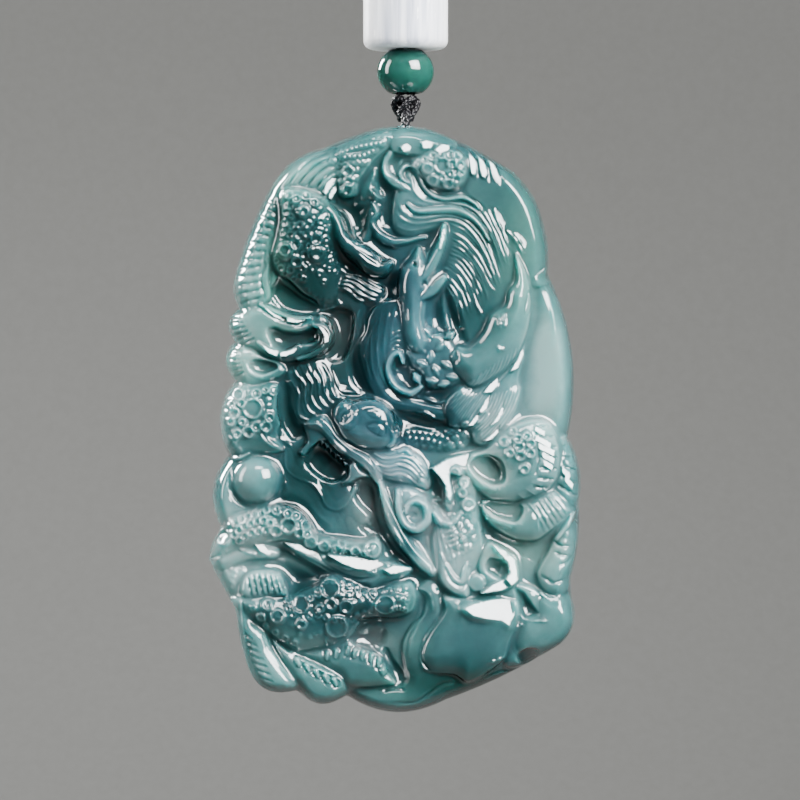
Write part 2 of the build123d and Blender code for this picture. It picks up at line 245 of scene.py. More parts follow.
middle = maths("SUBTRACT", given["Cord radius"], maths("MULTIPLY", given["Strand radius"], strand_sunk))
weave_height = maths("MULTIPLY", maths("MULTIPLY", weave, given["Strand radius"]), weave_rise)
reach = maths("ADD", middle, weave_height)
normal = add_node(braid, "GeometryNodeInputNormal").outputs[0]
tangent = add_node(braid, "GeometryNodeInputTangent").outputs[0]
sideways = vector_maths("CROSS_PRODUCT", tangent, normal)
outwards = vector_maths("SCALE", normal, maths("MULTIPLY", maths("COSINE", turn), reach), key="Scale")
aside = vector_maths("SCALE", sideways, maths("MULTIPLY", maths("SINE", turn), reach), key="Scale")
offset = vector_maths("ADD", outwards, aside)
laid = add_node(braid, "GeometryNodeSetPosition", {}, {"Geometry": copies.outputs[0], "Offset": offset})
section = add_node(braid, "GeometryNodeCurvePrimitiveCircle", {"Resolution": strand_sides},
                   {"Radius": given["Strand radius"]})
strands = add_node(braid, "GeometryNodeCurveToMesh", {"Fill Caps": True},
                   {"Curve": laid.outputs[0], "Profile Curve": section.outputs[0]})
core_section = add_node(braid, "GeometryNodeCurvePrimitiveCircle", {"Resolution": core_sides},
                        {"Radius": middle})
core = add_node(braid, "GeometryNodeCurveToMesh", {"Fill Caps": True},
                {"Curve": fine.outputs[0], "Profile Curve": core_section.outputs[0]})
joined = add_node(braid, "GeometryNodeJoinGeometry", {}, {0: strands.outputs[0]})
braid.links.new(core.outputs[0], joined.inputs[0])
smooth_shaded = add_node(braid, "GeometryNodeSetShadeSmooth", {}, {0: joined.outputs[0]})
realized = add_node(braid, "GeometryNodeRealizeInstances", {}, {0: smooth_shaded.outputs[0]})
finished = add_node(braid, "GeometryNodeSetMaterial", {},
                    {"Geometry": realized.outputs[0], "Material": given["Cord"]})
add_node(braid, "NodeGroupOutput", {}, {0: finished.outputs[0]})

# Waxed black polyester braid: near black, with a dull shine on each strand
# and fibres along it, 0.02 mm wide but drawn at 0.08 mm so that they show.
cord_material, tree, output = new_material("waxed black polyester braid")
places = add_node(tree, "ShaderNodeTexCoord").outputs["Object"]
fibres = add_node(tree, "ShaderNodeTexNoise", {"Scale": 1 / 0.00008, "Detail": 3.0}, {"Vector": places})
wear = add_node(tree, "ShaderNodeTexNoise", {"Scale": 1 / 0.0006, "Detail": 2.0}, {"Vector": places})
cord_colours = {"data_type": "RGBA", 6: linear("#050507"), 7: linear("#121015")}
cord_colour = add_node(tree, "ShaderNodeMix", cord_colours, {0: wear.outputs["Fac"]})
shine = add_node(tree, "ShaderNodeMapRange", {"To Min": 0.18, "To Max": 0.36},
                 {"Value": fibres.outputs["Fac"]})
fibre_bump = add_node(tree, "ShaderNodeBump", {"Strength": 0.4, "Distance": 0.00003},
                      {"Height": fibres.outputs["Fac"]})
surface = add_node(tree, "ShaderNodeBsdfPrincipled", {"IOR": 1.4}, {
    "Base Color": cord_colour.outputs[2], "Roughness": shine.outputs[0], "Normal": fibre_bump.outputs[0]})
tree.links.new(surface.outputs[0], output.inputs["Surface"])


def braided(name, route, **sizes):
    """A braid along a route, as a plain mesh."""
    modifier = route.modifiers.new("braid", "NODES")
    modifier.node_group = braid
    modifier[braid_sizes["Cord"]] = cord_material
    for size_name, value in sizes.items():
        modifier[braid_sizes[size_name.replace("_", " ").capitalize()]] = value
    mesh = plain_mesh(route)
    route.modifiers.clear()
    mesh.name = name
    piece = placed(name, mesh)
    bpy.data.objects.remove(route)
    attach(piece, "root")
    return piece


hanging = route_curve("hanging_route", hanging_route)
hanging_line = [tuple(vertex.co) for vertex in plain_mesh(hanging).vertices]
hanging_cord = braided("hanging_cord_braid", hanging)
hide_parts("hanging_cord")

# Stone loop: the same cord below the knot, one strand down through the
# drilled crest to the stone's back, and up again into the knot.
knot_height = 0.0034
knot_gap = 0.0005         # from the knot down to the crest
crest_height = knot_top - knot_height - knot_gap
stone_route = [
    (0, -0.00125, crest_height + 0.0017),
    (0, -0.0026, crest_height - 0.00075),
    (0, 0.0046, crest_height - 0.0058),
    (0, 0.0053, crest_height - 0.0037),
    (0, 0.0036, crest_height - 0.001),
    (0, 0.0019, crest_height + 0.00035),
    (0, 0.0003, crest_height + 0.0019),
]
stone_loop = braided("stone_loop_braid", route_curve("stone_route", stone_route))
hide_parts("stone_loop")

# Cord knot: the cord tied tight under the green bead, its turns wound over
# and under each other into a ball that narrows to the stone.
knot_low, knot_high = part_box("cord_knot")
knot_middle = (Vector(knot_low) + Vector(knot_high)) / 2
knot_size = Vector(knot_high) - Vector(knot_low)
knot_turns, knot_bights = 3, 4
knot_cord = 0.00088       # the cord, pulled thin in the knot
knot_points = 72
knot_mean, knot_weave = 0.7, 0.36       # of the knot's radius: its mean turn, and how far it goes in and out
knot_low_end, knot_taper = 0.92, 0.16   # of a turn's radius: what it keeps halfway up, and gains at the top
knot_fill = 0.97          # of the knot's height, that the cord's middle line takes up
knot_lead = 0.4           # of the cord's rise before its turn, in radians
knot_route = []
for k in range(knot_points):
    turned = 2 * np.pi * k / knot_points
    height_share = np.sin(knot_bights * turned + knot_lead)
    weave_share = knot_mean + knot_weave * np.cos(knot_bights * turned)
    out = (knot_size.x / 2 - knot_cord / 2) * weave_share * (knot_low_end + knot_taper * height_share)
    knot_route.append((
        knot_middle.x + out * np.cos(knot_turns * turned), knot_middle.y + out * np.sin(knot_turns * turned),
        knot_middle.z + (knot_size.z / 2 - knot_cord / 2) * height_share * knot_fill))
cord_knot = braided("cord_knot_braid", route_curve("knot_route", knot_route, closed=True),
                    Cord_radius=knot_cord / 2, Strand_radius=0.00013, Lay_length=0.0024)
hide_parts("cord_knot")

# Green bead: a round bead of dark blue-green jade, drilled through, its top
# flat against the barrel bead. It is turned and polished to a mirror shine.
thread_bore = 0.00316
bore_edge = 0.00012       # small bevel at each end of a bore
flat_width = 0.0003       # of the flat round each end of the bore
bead_sides = 128


def turned_bead(name, profile):
    """A bead turned about its bore, its section's points going down the outside and up the bore."""
    angles = np.arange(bead_sides) * 2 * np.pi / bead_sides
    points = [(radius * np.cos(a), radius * np.sin(a), z) for radius, z in profile for a in angles]
    count = len(profile)
    faces = []
    for k in range(count):
        ring, below = k * bead_sides, (k + 1) % count * bead_sides
        for j in range(bead_sides):
            next_j = (j + 1) % bead_sides
            faces.append((ring + j, below + j, below + next_j, ring + next_j))
    mesh = bpy.data.meshes.new(name)
    mesh.from_pydata(points, [], faces)
    mesh.shade_smooth()
    piece = placed(name, mesh)
    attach(piece, "root")
    return piece


def arc(middle, radius, start, end, steps):
    """Section points along an arc, angles in degrees up from outwards."""
    angles = np.radians(np.linspace(start, end, steps))
    return [(middle[0] + radius * np.cos(a), middle[1] + radius * np.sin(a)) for a in angles]


def bore_points(low, high):
    """Section points up the bore, with a bevel at each end."""
    radius = thread_bore / 2
    lengths = np.linspace(low + bore_edge, high - bore_edge, 8)
    return [(radius + bore_edge, low), *[(radius, z) for z in lengths], (radius + bore_edge, high)]


bead_low, bead_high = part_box("green_bead")
bead_radius = (bead_high[0] - bead_low[0]) / 2
bead_middle = bead_low[2] + (bead_high[2] - bead_low[2]) / 2
bead_flat = thread_bore / 2 + flat_width
flat_turn = np.arccos(bead_flat / bead_radius)
bead_tall = (bead_high[2] - bead_middle) / np.sin(flat_turn)
bead_profile = [(bead_radius * np.cos(a), bead_middle + bead_tall * np.sin(a))
                for a in np.linspace(flat_turn, -flat_turn, 40)] + bore_points(bead_low[2], bead_high[2])
green_bead = turned_bead("green_bead_polished", bead_profile)
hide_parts("green_bead")

# Polished dark jade: cloudy blue-green with paler wisps about 1 mm wide, so
# that the light sinks in a little under a sharp, glassy shine.
green_material, tree, output = new_material("polished dark green jade")
places = add_node(tree, "ShaderNodeTexCoord").outputs["Object"]
clouds = add_node(tree, "ShaderNodeTexNoise", {"Scale": 1 / 0.0016, "Detail": 4.0, "Distortion": 0.8},
                  {"Vector": places})
greens = {"data_type": "RGBA", 6: linear("#0b3531"), 7: linear("#22584c")}
green = add_node(tree, "ShaderNodeMix", greens, {0: clouds.outputs["Fac"]})
surface = add_node(tree, "ShaderNodeBsdfPrincipled", {
    "IOR": 1.66, "Roughness": 0.06, "Subsurface Weight": 0.8, "Subsurface Radius": (0.3, 1.0, 0.8),
    "Subsurface Scale": 0.0012}, {"Base Color": green.outputs[2]})
tree.links.new(surface.outputs[0], output.inputs["Surface"])
green_bead.data.materials.append(green_material)

# Barrel bead: a drilled white jade cylinder with rounded rims, satin polished,
# with fine straight growth lines along it.
barrel_low, barrel_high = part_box("barrel_bead")
barrel_radius = (barrel_high[0] - barrel_low[0]) / 2
rim_round = 0.001
corner = barrel_radius - rim_round
side_top, side_foot = barrel_high[2] - rim_round, barrel_low[2] + rim_round
side_points = [(barrel_radius, z) for z in np.linspace(side_top, side_foot, 14)[1:-1]]
barrel_profile = (arc((corner, side_top), rim_round, 90, 0, 10) + side_points
                  + arc((corner, side_foot), rim_round, 0, -90, 10)
                  + bore_points(barrel_low[2], barrel_high[2]))
barrel_bead = turned_bead("barrel_bead_satin", barrel_profile)
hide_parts("barrel_bead")

# Satin white jade: milky and full of light, with upright streaks about 1 mm
# apart, a few short bright flecks, a soft shine, and a painted rim light that is whiter where the surface
# turns away from the eye.
white_material, tree, output = new_material("satin white jade")
places = add_node(tree, "ShaderNodeTexCoord").outputs["Object"]
upright = add_node(tree, "ShaderNodeMapping", {"Scale": (1 / 0.0009, 1 / 0.0009, 1 / 0.02)},
                   {"Vector": places})
streaks = add_node(tree, "ShaderNodeTexNoise", {"Scale": 1.0, "Detail": 4.0}, {"Vector": upright.outputs[0]})
streak_share = add_node(tree, "ShaderNodeMapRange", {"From Min": 0.36, "From Max": 0.64},
                        {"Value": streaks.outputs["Fac"]})
short = add_node(tree, "ShaderNodeMapping", {"Scale": (1 / 0.0005, 1 / 0.0005, 1 / 0.0018)},
                 {"Vector": places})
flecks = add_node(tree, "ShaderNodeTexNoise", {"Scale": 1.0, "Detail": 1.0}, {"Vector": short.outputs[0]})
fleck_share = add_node(tree, "ShaderNodeMapRange", {"From Min": 0.68, "From Max": 0.78},
                       {"Value": flecks.outputs["Fac"]})
milks = {"data_type": "RGBA", 6: linear("#8f97aa"), 7: linear("#e2e4e9")}
milk = add_node(tree, "ShaderNodeMix", milks, {0: streak_share.outputs[0]})
# Painted rim light: whiter where the surface turns away from the eye
edge = add_node(tree, "ShaderNodeLayerWeight", {"Blend": 0.6})
painted_rim_light = add_node(tree, "ShaderNodeMix", {"data_type": "RGBA", 7: linear("#fbfcfd")},
                    {0: edge.outputs["Facing"], 6: milk.outputs[2]})
white = add_node(tree, "ShaderNodeMix", {"data_type": "RGBA", 7: linear("#ffffff")},
                 {0: fleck_share.outputs[0], 6: painted_rim_light.outputs[2]})
surface = add_node(tree, "ShaderNodeBsdfPrincipled", {
    "IOR": 1.62, "Roughness": 0.3, "Subsurface Weight": 0.9, "Subsurface Radius": (1.0, 1.0, 1.0),
    "Subsurface Scale": 0.003}, {"Base Color": white.outputs[2]})
tree.links.new(surface.outputs[0], output.inputs["Surface"])
barrel_bead.data.materials.append(white_material)

# Carved stone: one plaque of translucent blue-green jade, cut in deep relief
# with a dragon and a phoenix, its hollows thin and its back a plain polished
# dome. It is cut from one block, drilled at the crest and hung on the cord.

# Places on it are in thousandths of its own width and height, from the top
# left; half widths and radii are in thousandths of its width; depths are in mm.
stone_width = 43.1
stone_height = 68.0
front_rise = 7.4
back_rise = 4.6
edge_round = 1.9        # how far in from the edge the front turns over
dome_reach = 6.0        # how far in from the edge the front still rises
dome_share = 0.08       # of the front's rise, that comes beyond the round edge
ground = -0.4           # the carving's general depth below the plain front
grain = 0.065           # between the places where the carving is worked out
margin = 0.5            # of the grid, round the stone
eye_level = np.array([0.6, 2.5])  # straight ahead of the eye

# The outline's arcs, clockwise: where each ends, and how far it bows out by its chord
OUTLINE = [
    ("crest", 600, 4, 0.08),
    ("right shoulder", 820, 76, 0.03),
    ("right shoulder round", 900, 162, 0.08),
    ("upper right edge", 912, 250, 0.05),
    ("right edge", 966, 528, 0.09),
    ("belly bulge", 996, 640, 0.10),
    ("coil bulge", 976, 765, 0.05),
    ("lower right notch", 979, 804, -0.03),
    ("lower right lobe", 948, 880, 0.17),
    ("base right", 641, 975, 0.03),
    ("base middle lobe", 371, 969, 0.15),
    ("base second lobe", 237, 960, 0.22),
    ("base left lobe", 98, 910, 0.24),
    ("lower left edge", 70, 820, 0.03),
    ("lower left slope", 0, 737, 0.02),
    ("coil end", 33, 682, 0.08),
    ("pearl lobe", 53, 558, 0.17),
    ("bubble lobe", 69, 431, 0.16),
    ("third plate lobe", 68, 364, 0.23),
    ("second plate lobe", 80, 307, 0.24),
    ("first plate lobe", 73, 248, 0.12),
    ("left edge", 169, 100, 0.03),
    ("left shoulder", 309, 36, 0.12),
    ("left of the crest", 400, 12, 0.02),
]


def in_stone(points, nearer=0.98):
    """Places on the front in mm from its middle, drawn in as it is nearer to the eye than its outline."""
    points = np.array(points, float)
    flat = np.column_stack([(points[:, 0] / 1000 - 0.5) * stone_width,
                            (0.5 - points[:, 1] / 1000) * stone_height])
    return eye_level + (flat - eye_level) * nearer


def outline_points(arc_steps=10):
    """The stone's outline, clockwise, each row of the table an arc to its end."""
    ends = in_stone([row[1:3] for row in OUTLINE], nearer=1)
    share = np.arange(1, arc_steps + 1)[:, None] / arc_steps
    points = []
    for start, end, row in zip(np.roll(ends, 1, axis=0), ends, OUTLINE):
        chord = end - start
        outwards = np.array([-chord[1], chord[0]])
        points.append(start + share * chord + 4 * row[3] * share * (1 - share) * outwards)
    return np.concatenate(points)


half_wide = stone_width / 2 + margin
half_high = stone_height / 2 + margin
across = np.arange(-half_wide, half_wide, grain)
up = np.arange(-half_high, half_high, grain)
place_x, place_y = np.meshgrid(across, up)


def window(points, reach):
    """The part of the grid that lies within a reach of some points."""
    low = ((points.min(axis=0) - reach + [half_wide, half_high]) / grain).astype(int).clip(0)
    high = ((points.max(axis=0) + reach + [half_wide, half_high]) / grain).astype(int) + 2
    return np.s_[low[1]:high[1], low[0]:high[0]]


def flowing(points, closed=False, steps=6):
    """A Catmull-Rom line through the points, with any further columns carried along."""
    if len(points) < 3:
        return points
    if closed:
        ends = np.concatenate([points[-1:], points, points[:2]])
    else:
        ends = np.concatenate([2 * points[:1] - points[1:2], points, 2 * points[-1:] - points[-2:-1]])
    share = np.arange(steps)[:, None] / steps
    line = []
    for a, b, c, d in zip(ends, ends[1:], ends[2:], ends[3:]):
        bend = 2 * a - 5 * b + 4 * c - d + share * (3 * b - a - 3 * c + d)
        line.append(b + 0.5 * share * (c - a + share * bend))
    if closed:
        return np.concatenate([*line, points[:1]])
    return np.concatenate([*line, points[-1:]])


def beside(line, reach):
    """Near a line: the part of the grid, how far from it, how far along it, and its own third column."""
    part = window(line[:, :2], reach)
    x, y = place_x[part], place_y[part]
    away = np.full(x.shape, float(reach))
    share = np.zeros(x.shape)
    own = np.full(x.shape, line[0, -1])
    runs = np.hypot(*(line[1:, :2] - line[:-1, :2]).T)
    before = np.concatenate([[0], np.cumsum(runs)]) / runs.sum()
    corner = [part[0].start, part[1].start]
    for k, (start, end) in enumerate(zip(line, line[1:])):
        if runs[k] == 0:
            continue
        near = window(np.stack([start[:2], end[:2]]), reach)
        near = np.s_[near[0].start - corner[0]:near[0].stop - corner[0],
                     near[1].start - corner[1]:near[1].stop - corner[1]]
        step = end[:2] - start[:2]
        t = (((x[near] - start[0]) * step[0] + (y[near] - start[1]) * step[1]) / runs[k] ** 2).clip(0, 1)
        apart = np.hypot(x[near] - start[0] - t * step[0], y[near] - start[1] - t * step[1])
        closer = apart < away[near]
        away[near][closer] = apart[closer]
        share[near][closer] = (before[k] + t * (before[k + 1] - before[k]))[closer]
        if line.shape[1] > 2:
            own[near][closer] = (start[2] + t * (end[2] - start[2]))[closer]
    return part, away, share, own


def inside(line, part):
    """Which places of a part of the grid lie inside a closed line."""
    x, y = place_x[part], place_y[part]
    within = np.zeros(x.shape, bool)
    for start, end in zip(line, line[1:]):
        rows = (start[1] <= y[:, 0]) != (end[1] <= y[:, 0])
        if rows.any():
            crossing = start[0] + (y[rows] - start[1]) * (end[0] - start[0]) / (end[1] - start[1])
            within[rows] ^= x[rows] < crossing
    return within


def smooth(share):
    """From 0 to 1 with a level start and end."""
    share = np.clip(share, 0, 1)
    return share * share * (3 - 2 * share)


def crown(share):
    """A round top: 1 in the middle and 0 at the edge."""
    return np.sqrt(np.clip(1 - share ** 2, 0, None))


def mm(width):
    """A width in mm, from thousandths of the stone's width."""
    return width / 1000 * stone_width


def plain_height(rim):
    """The uncarved front's height, by the distance from the outline."""
    turned = crown(1 - (rim / edge_round).clip(0, 1))
    return front_rise * ((1 - dome_share) * turned + dome_share * np.sqrt((rim / dome_reach).clip(0, 1)))


rim_line = flowing(outline_points(), closed=True, steps=1)
rim_part, near_rim = beside(rim_line, dome_reach)[:2]
plain_rim = np.full(place_x.shape, dome_reach)
plain_rim[rim_part] = near_rim
within_stone = np.zeros(place_x.shape, bool)
within_stone[rim_part] = inside(rim_line, rim_part)
rim = np.where(within_stone, plain_rim, -plain_rim)
relief = np.full(place_x.shape, ground)

# Each function below carves one kind of form. Its name is only for the maker
cut_reach = 0.6         # how far from a form the stone round it is cut down
lip_reach = 0.8         # how far from a recess its raised lip goes
arris_in = 0.25         # from a form's edge to its crisp arris
arris_width = 0.14


def mound(name, level, rise, shoulder, points, cut=0.05, sharp=False, tilt=(0, 0), crisp=0.1):
    """A raised form: the height at its edge, its rise, how far in its shoulder goes, and its edge."""
    line = in_stone(points)
    middle = line.mean(axis=0)
    line = np.concatenate([line, line[:1]]) if sharp else flowing(line, closed=True)
    part, away = beside(line, max(shoulder, cut_reach))[:2]
    within = inside(line, part)
    form = level + rise * crown(1 - (away / shoulder).clip(0, 1))
    form += tilt[0] * (place_x[part] - middle[0]) + tilt[1] * (place_y[part] - middle[1])
    form += crisp * np.exp(-((away - arris_in) / arris_width) ** 2)
    here = relief[part]
    here -= np.where(within, 0, cut * (1 - away / cut_reach).clip(0, 1) ** 2)
    here[within] = np.maximum(here, form)[within]


def hollow(name, floor, wall, points, lip=0.0):
    """A recess: the depth of its floor, how far in its wall goes, and a raised lip round it."""
    line = flowing(in_stone(points), closed=True)
    part, away = beside(line, max(wall, lip_reach))[:2]
    within = inside(line, part)
    here = relief[part]
    sunk = smooth(away / wall)
    here[within] = (here * (1 - sunk) + np.minimum(floor, here) * sunk)[within]
    here += np.where(within, 0, lip * (1 - away / lip_reach).clip(0, 1) ** 2)


def roll(name, level, rise, points, cut=0.05):
    """A rounded form along a path, whose points give its half width."""
    points = np.array(points, float)
    line = flowing(np.column_stack([in_stone(points[:, :2]), mm(points[:, 2])]))
    part, away, _, own = beside(line, line[:, 2].max() + cut_reach)
    within = away < own
    form = level + rise * crown((away / own).clip(0, 1))
    here = relief[part]
    here -= np.where(within, 0, cut * (1 - (away - own) / cut_reach).clip(0, 1) ** 2)
    here[within] = np.maximum(here, form)[within]


hand_depth = 0.8        # of a groove's depth, as the hand holds the tool on the whole
hand_swing = 0.25       # of a groove's depth, as the hand presses more and less
hand_beats = 17         # of the swing along a groove, in radians
hand_shift = 5          # of the swing from one groove to the next, in radians for each mm


def line_cut(width, depth, points):
    """A groove along a path, or a fine ridge where the depth is negative."""
    line = flowing(points)
    part, away, share = beside(line, width)[:3]
    pressed = hand_depth + hand_swing * np.sin(hand_beats * share + hand_shift * points[0, 0])
    ends = np.sqrt(np.clip(4 * share * (1 - share), 0, 1)) * pressed
    relief[part] -= depth * ends * (1 - (away / width).clip(0, 1) ** 2) ** 2


def lines(name, width, depth, *paths):
    """Grooves or ridges, each along its own path."""
    for points in paths:
        line_cut(mm(width), depth, in_stone(points))


def evenly(points, count):
    """A smooth line through the points, as this many points evenly along it."""
    line = flowing(in_stone(points), steps=10)
    along = np.concatenate([[0], np.cumsum(np.hypot(*(line[1:] - line[:-1]).T))])
    share = np.linspace(0, along[-1], count)
    return np.column_stack([np.interp(share, along, line[:, 0]), np.interp(share, along, line[:, 1])])


guide_points = 12


def fan(name, count, width, depth, first, last):
    """Grooves side by side from one guide to the other."""
    first, last = evenly(first, guide_points), evenly(last, guide_points)
    for share in np.linspace(0, 1, count):
        line_cut(mm(width), depth, first * (1 - share) + last * share)


def rungs(name, count, width, depth, first, last):
    """Grooves from one rail across to the other."""
    for start, end in zip(evenly(first, count), evenly(last, count)):
        line_cut(mm(width), depth, np.stack([start, (start + end) / 2, end]))


scale_reach = 1.8       # of a scale's radius, out to where its ring has died away
ring_width = 0.13       # of a scale's raised ring, in mm, or less on a small one
ring_share = 0.35


def scale(x, y, size, rise, ring_rise):
    """A round scale at a place: a low ball in a thin raised ring."""
    part = window(np.array([[x, y]]), size * scale_reach)
    away = np.hypot(place_x[part] - x, place_y[part] - y)
    ring = min(ring_width, size * ring_share)
    ball = rise * size * crown((away / size).clip(0, 1))
    relief[part] += ball + ring_rise * np.exp(-((away - size) / ring) ** 2)


def scales(name, rise, ring_rise, places):
    """Round scales, each with its own size."""
    for x, y, radius in places:
        scale(*in_stone([(x, y)])[0], mm(radius), rise, ring_rise)


def rows_of_scales(name, *rows, rise=0.6, ring_rise=0.16):
    """Like scales, evenly along a path: how many, their radius and the path."""
    for count, radius, points in rows:
        for x, y in evenly(points, count):
            scale(x, y, mm(radius), rise, ring_rise)


def disc(x, y, radius, tall=1.0):
    """A closed round or oval edge."""
    turns = np.arange(12) * np.pi / 6
    radius_up = tall * radius
    return np.column_stack([x + radius * np.cos(turns),
                            y + radius_up * np.sin(turns) * stone_width / stone_height])


# The deep ground between the forms
hollow("dark channel", -3.0, 1.6, [(430, 262), (480, 240), (510, 240), (512, 270), (515, 300), (500, 320),
    (460, 312), (440, 325), (420, 345), (402, 372), (402, 395), (418, 422), (440, 450), (475, 474),
    (525, 486), (600, 500), (645, 506), (600, 516), (540, 511), (505, 502), (478, 486), (445, 466),
    (405, 452), (378, 435), (370, 400), (392, 350), (402, 312)])
hollow("grey hollow", -2.6, 0.6, [(298, 318), (325, 306), (360, 303), (392, 312), (395, 338), (386, 368),
    (365, 396), (330, 400), (312, 385), (330, 352)])
hollow("ribbon hollow", -2.6, 1.2, [(345, 208), (372, 208), (398, 218), (412, 238), (400, 250), (370, 246),
    (352, 232)])
hollow("throat hollow", -1.8, 0.8, [(370, 602), (400, 594), (440, 594), (468, 612), (480, 640), (472, 658),
    (492, 688), (520, 706), (546, 728), (548, 750), (500, 745), (462, 712), (425, 698), (400, 680),
    (425, 665), (398, 645), (380, 625)])
hollow("coil hollow", -2.6, 1.4, [(90, 745), (130, 735), (190, 731), (240, 744), (288, 765), (298, 785),
    (270, 794), (215, 794), (190, 770), (130, 752)])
hollow("jaw hollow", -1.4, 1.0, [(232, 643), (262, 646), (290, 666), (296, 690), (264, 674), (240, 660)])
hollow("leaf hollow", -1.5, 1.0, [(385, 871), (410, 856), (450, 850), (480, 856), (483, 875), (470, 890),
    (440, 893), (408, 886)])
hollow("narrow hollow", -2.6, 0.6, [(466, 892), (482, 886), (502, 908), (526, 928), (528, 945), (505, 948),
    (486, 930)])

# Left edge: belly plates, the smooth strip beside them and the fin above
mound("belly plates", -0.2, 0.8, 1.6, [(150, 92), (195, 106), (190, 150), (178, 200), (162, 245), (166, 285),
    (140, 302), (100, 312), (60, 305), (40, 270), (60, 225), (95, 180), (120, 135)])
rungs("belly ribs", 13, 7, 0.35, [(140, 115), (118, 165), (98, 205), (74, 245), (56, 278), (62, 300)],
    [(190, 132), (166, 178), (146, 215), (140, 245), (148, 268), (150, 285)])
lines("edge of the plates", 5, 0.3, [(152, 205), (148, 222), (151, 233), (143, 246), (140, 262), (147, 280),
    (156, 296)])
mound("smooth strip", -0.4, 0.5, 1.2, [(196, 112), (202, 150), (192, 180), (182, 205), (176, 228),
    (190, 250), (204, 264), (178, 268), (163, 275), (156, 250), (162, 215), (174, 175), (186, 140)], cut=0.0,
    crisp=0.0)
mound("shoulder fin", -0.1, 1.1, 2.2, [(160, 105), (180, 68), (240, 35), (300, 12), (345, 5), (356, 50),
    (350, 95), (325, 124), (290, 112), (245, 106), (200, 108)])
fan("fin rays", 6, 6, 0.55, [(322, 40), (276, 52), (232, 78), (206, 104)],
    [(352, 92), (340, 100), (330, 110), (318, 122)])

# The scaled back, coiling down into its hollow
mound("scaled back", 0.0, 1.5, 3.6, [(198, 108), (250, 104), (300, 112), (325, 126), (338, 160), (342, 200),
    (352, 225), (362, 262), (350, 300), (310, 310), (260, 300), (215, 272), (182, 240), (172, 212),
    (186, 182), (196, 150)], cut=0.0, tilt=(-0.12, 0.16), crisp=0.0)
hollow("coil recess", -1.3, 0.5, [(163, 272), (170, 288), (185, 302), (210, 315), (240, 322), (272, 320),
    (300, 309), (290, 292), (255, 278), (215, 255), (188, 250)])
mound("crown back", 0.0, 0.9, 1.5, [(340, 20), (400, -5), (470, -15), (508, -5), (497, 25), (470, 40),
    (445, 55), (425, 72), (405, 92), (398, 115), (352, 115), (345, 90), (345, 60), (325, 48)])
scales("great scales", 0.28, 0.3, [(257, 141, 17), (205, 207, 23), (292, 213, 24)])
scales("great scales' inner rings", 0.0, 0.3, [(257, 141, 11), (205, 207, 15), (292, 213, 15)])
scales("large scales", 0.06, 0.3, [(235, 197, 13), (236, 226, 13), (290, 188, 14), (215, 112, 12),
    (237, 119, 10), (263, 114, 11), (284, 125, 10), (375, 73, 13), (378, 90, 11), (374, 104, 13)])
scales("small scales", 0.03, 0.22, [(207, 142, 9), (222, 131, 9), (203, 161, 9), (224, 166, 9),
    (246, 165, 9), (268, 164, 10), (198, 178, 8), (219, 182, 9), (241, 181, 9), (264, 180, 9), (174, 213, 7),
    (181, 225, 7), (193, 238, 8), (204, 246, 6), (219, 240, 8), (243, 250, 7), (228, 256, 6), (256, 256, 6),
    (252, 238, 8), (282, 237, 8), (300, 247, 7), (312, 231, 7), (327, 223, 7), (340, 227, 6), (337, 213, 6),
    (320, 206, 6), (285, 148, 8), (302, 158, 8), (318, 152, 7), (316, 170, 7), (298, 175, 8), (316, 188, 7),
    (270, 202, 8), (258, 215, 9), (262, 232, 7), (300, 132, 7), (240, 141, 7), (230, 212, 7), (222, 150, 7),
    (325, 240, 6), (344, 245, 6), (310, 262, 6)])
rows_of_scales("falling scales", (7, 4, [(262, 268), (290, 288), (320, 290), (345, 292)]),
    rise=0.3, ring_rise=0.1)
rows_of_scales("last scales", (4, 4, [(292, 309), (312, 302), (334, 306), (352, 298)]))
rows_of_scales("crown rows", (10, 7, [(332, 55), (370, 47), (410, 46), (448, 36)]),
    (10, 7, [(350, 40), (385, 32), (425, 27), (468, 24)]),
    (10, 6, [(352, 30), (390, 22), (430, 13), (485, 10)]),
    (6, 7, [(350, 62), (372, 60), (395, 58), (428, 58)]), (3, 7, [(352, 76), (354, 90), (356, 104)]),
    (3, 6, [(398, 70), (397, 84), (393, 98)]))

# Crown: two deep hollows, a lump, tendrils and the crest band
hollow("crown hollow", -2.4, 1.5, [(343, 102), (328, 118), (326, 131), (343, 141), (353, 158), (362, 176),
    (395, 182), (425, 175), (431, 155), (427, 130), (406, 122), (404, 100), (385, 112), (362, 116)])
hollow("second crown hollow", -2.2, 1.2, [(456, 74), (478, 88), (497, 104), (500, 132), (496, 165),
    (480, 170), (460, 165), (450, 148), (456, 132), (452, 122), (464, 116), (456, 98)])
mound("lump", -1.0, 1.3, 1.6, [(404, 112), (412, 94), (428, 76), (445, 63), (458, 74), (456, 96), (465, 118),
    (448, 126), (430, 119), (414, 124)])
lines("lump folds", 5, -0.35, [(430, 100), (445, 110), (466, 119)], [(440, 88), (447, 74), (449, 66)])
roll("tendril", -1.0, 1.2, [(442, 128, 10), (452, 142, 9), (440, 158, 11), (455, 178, 15), (490, 192, 15),
    (530, 191, 10), (560, 186, 7), (584, 184, 4)])
roll("tendril fork", -0.9, 0.9, [(438, 135, 8), (434, 155, 9), (430, 175, 12), (420, 190, 12)])
lines("tendril strands", 4, -0.3, [(447, 168), (472, 181), (510, 188), (545, 184)],
    [(443, 180), (468, 194), (500, 201), (520, 202)])
mound("crest band", 0.1, 0.8, 1.2, [(495, 5), (530, -15), (600, -15), (660, 5), (670, 32), (640, 40),
    (600, 43), (560, 45), (520, 43), (488, 35)])
roll("whisker", -0.3, 0.8, [(488, 40, 10), (474, 58, 9), (480, 78, 10), (500, 90, 13), (522, 98, 11),
    (540, 103, 5)])
lines("whisker ridges", 4, -0.3, [(478, 44), (470, 62), (476, 82), (498, 96), (528, 104)],
    [(498, 44), (484, 60), (490, 76), (512, 88), (540, 98)])
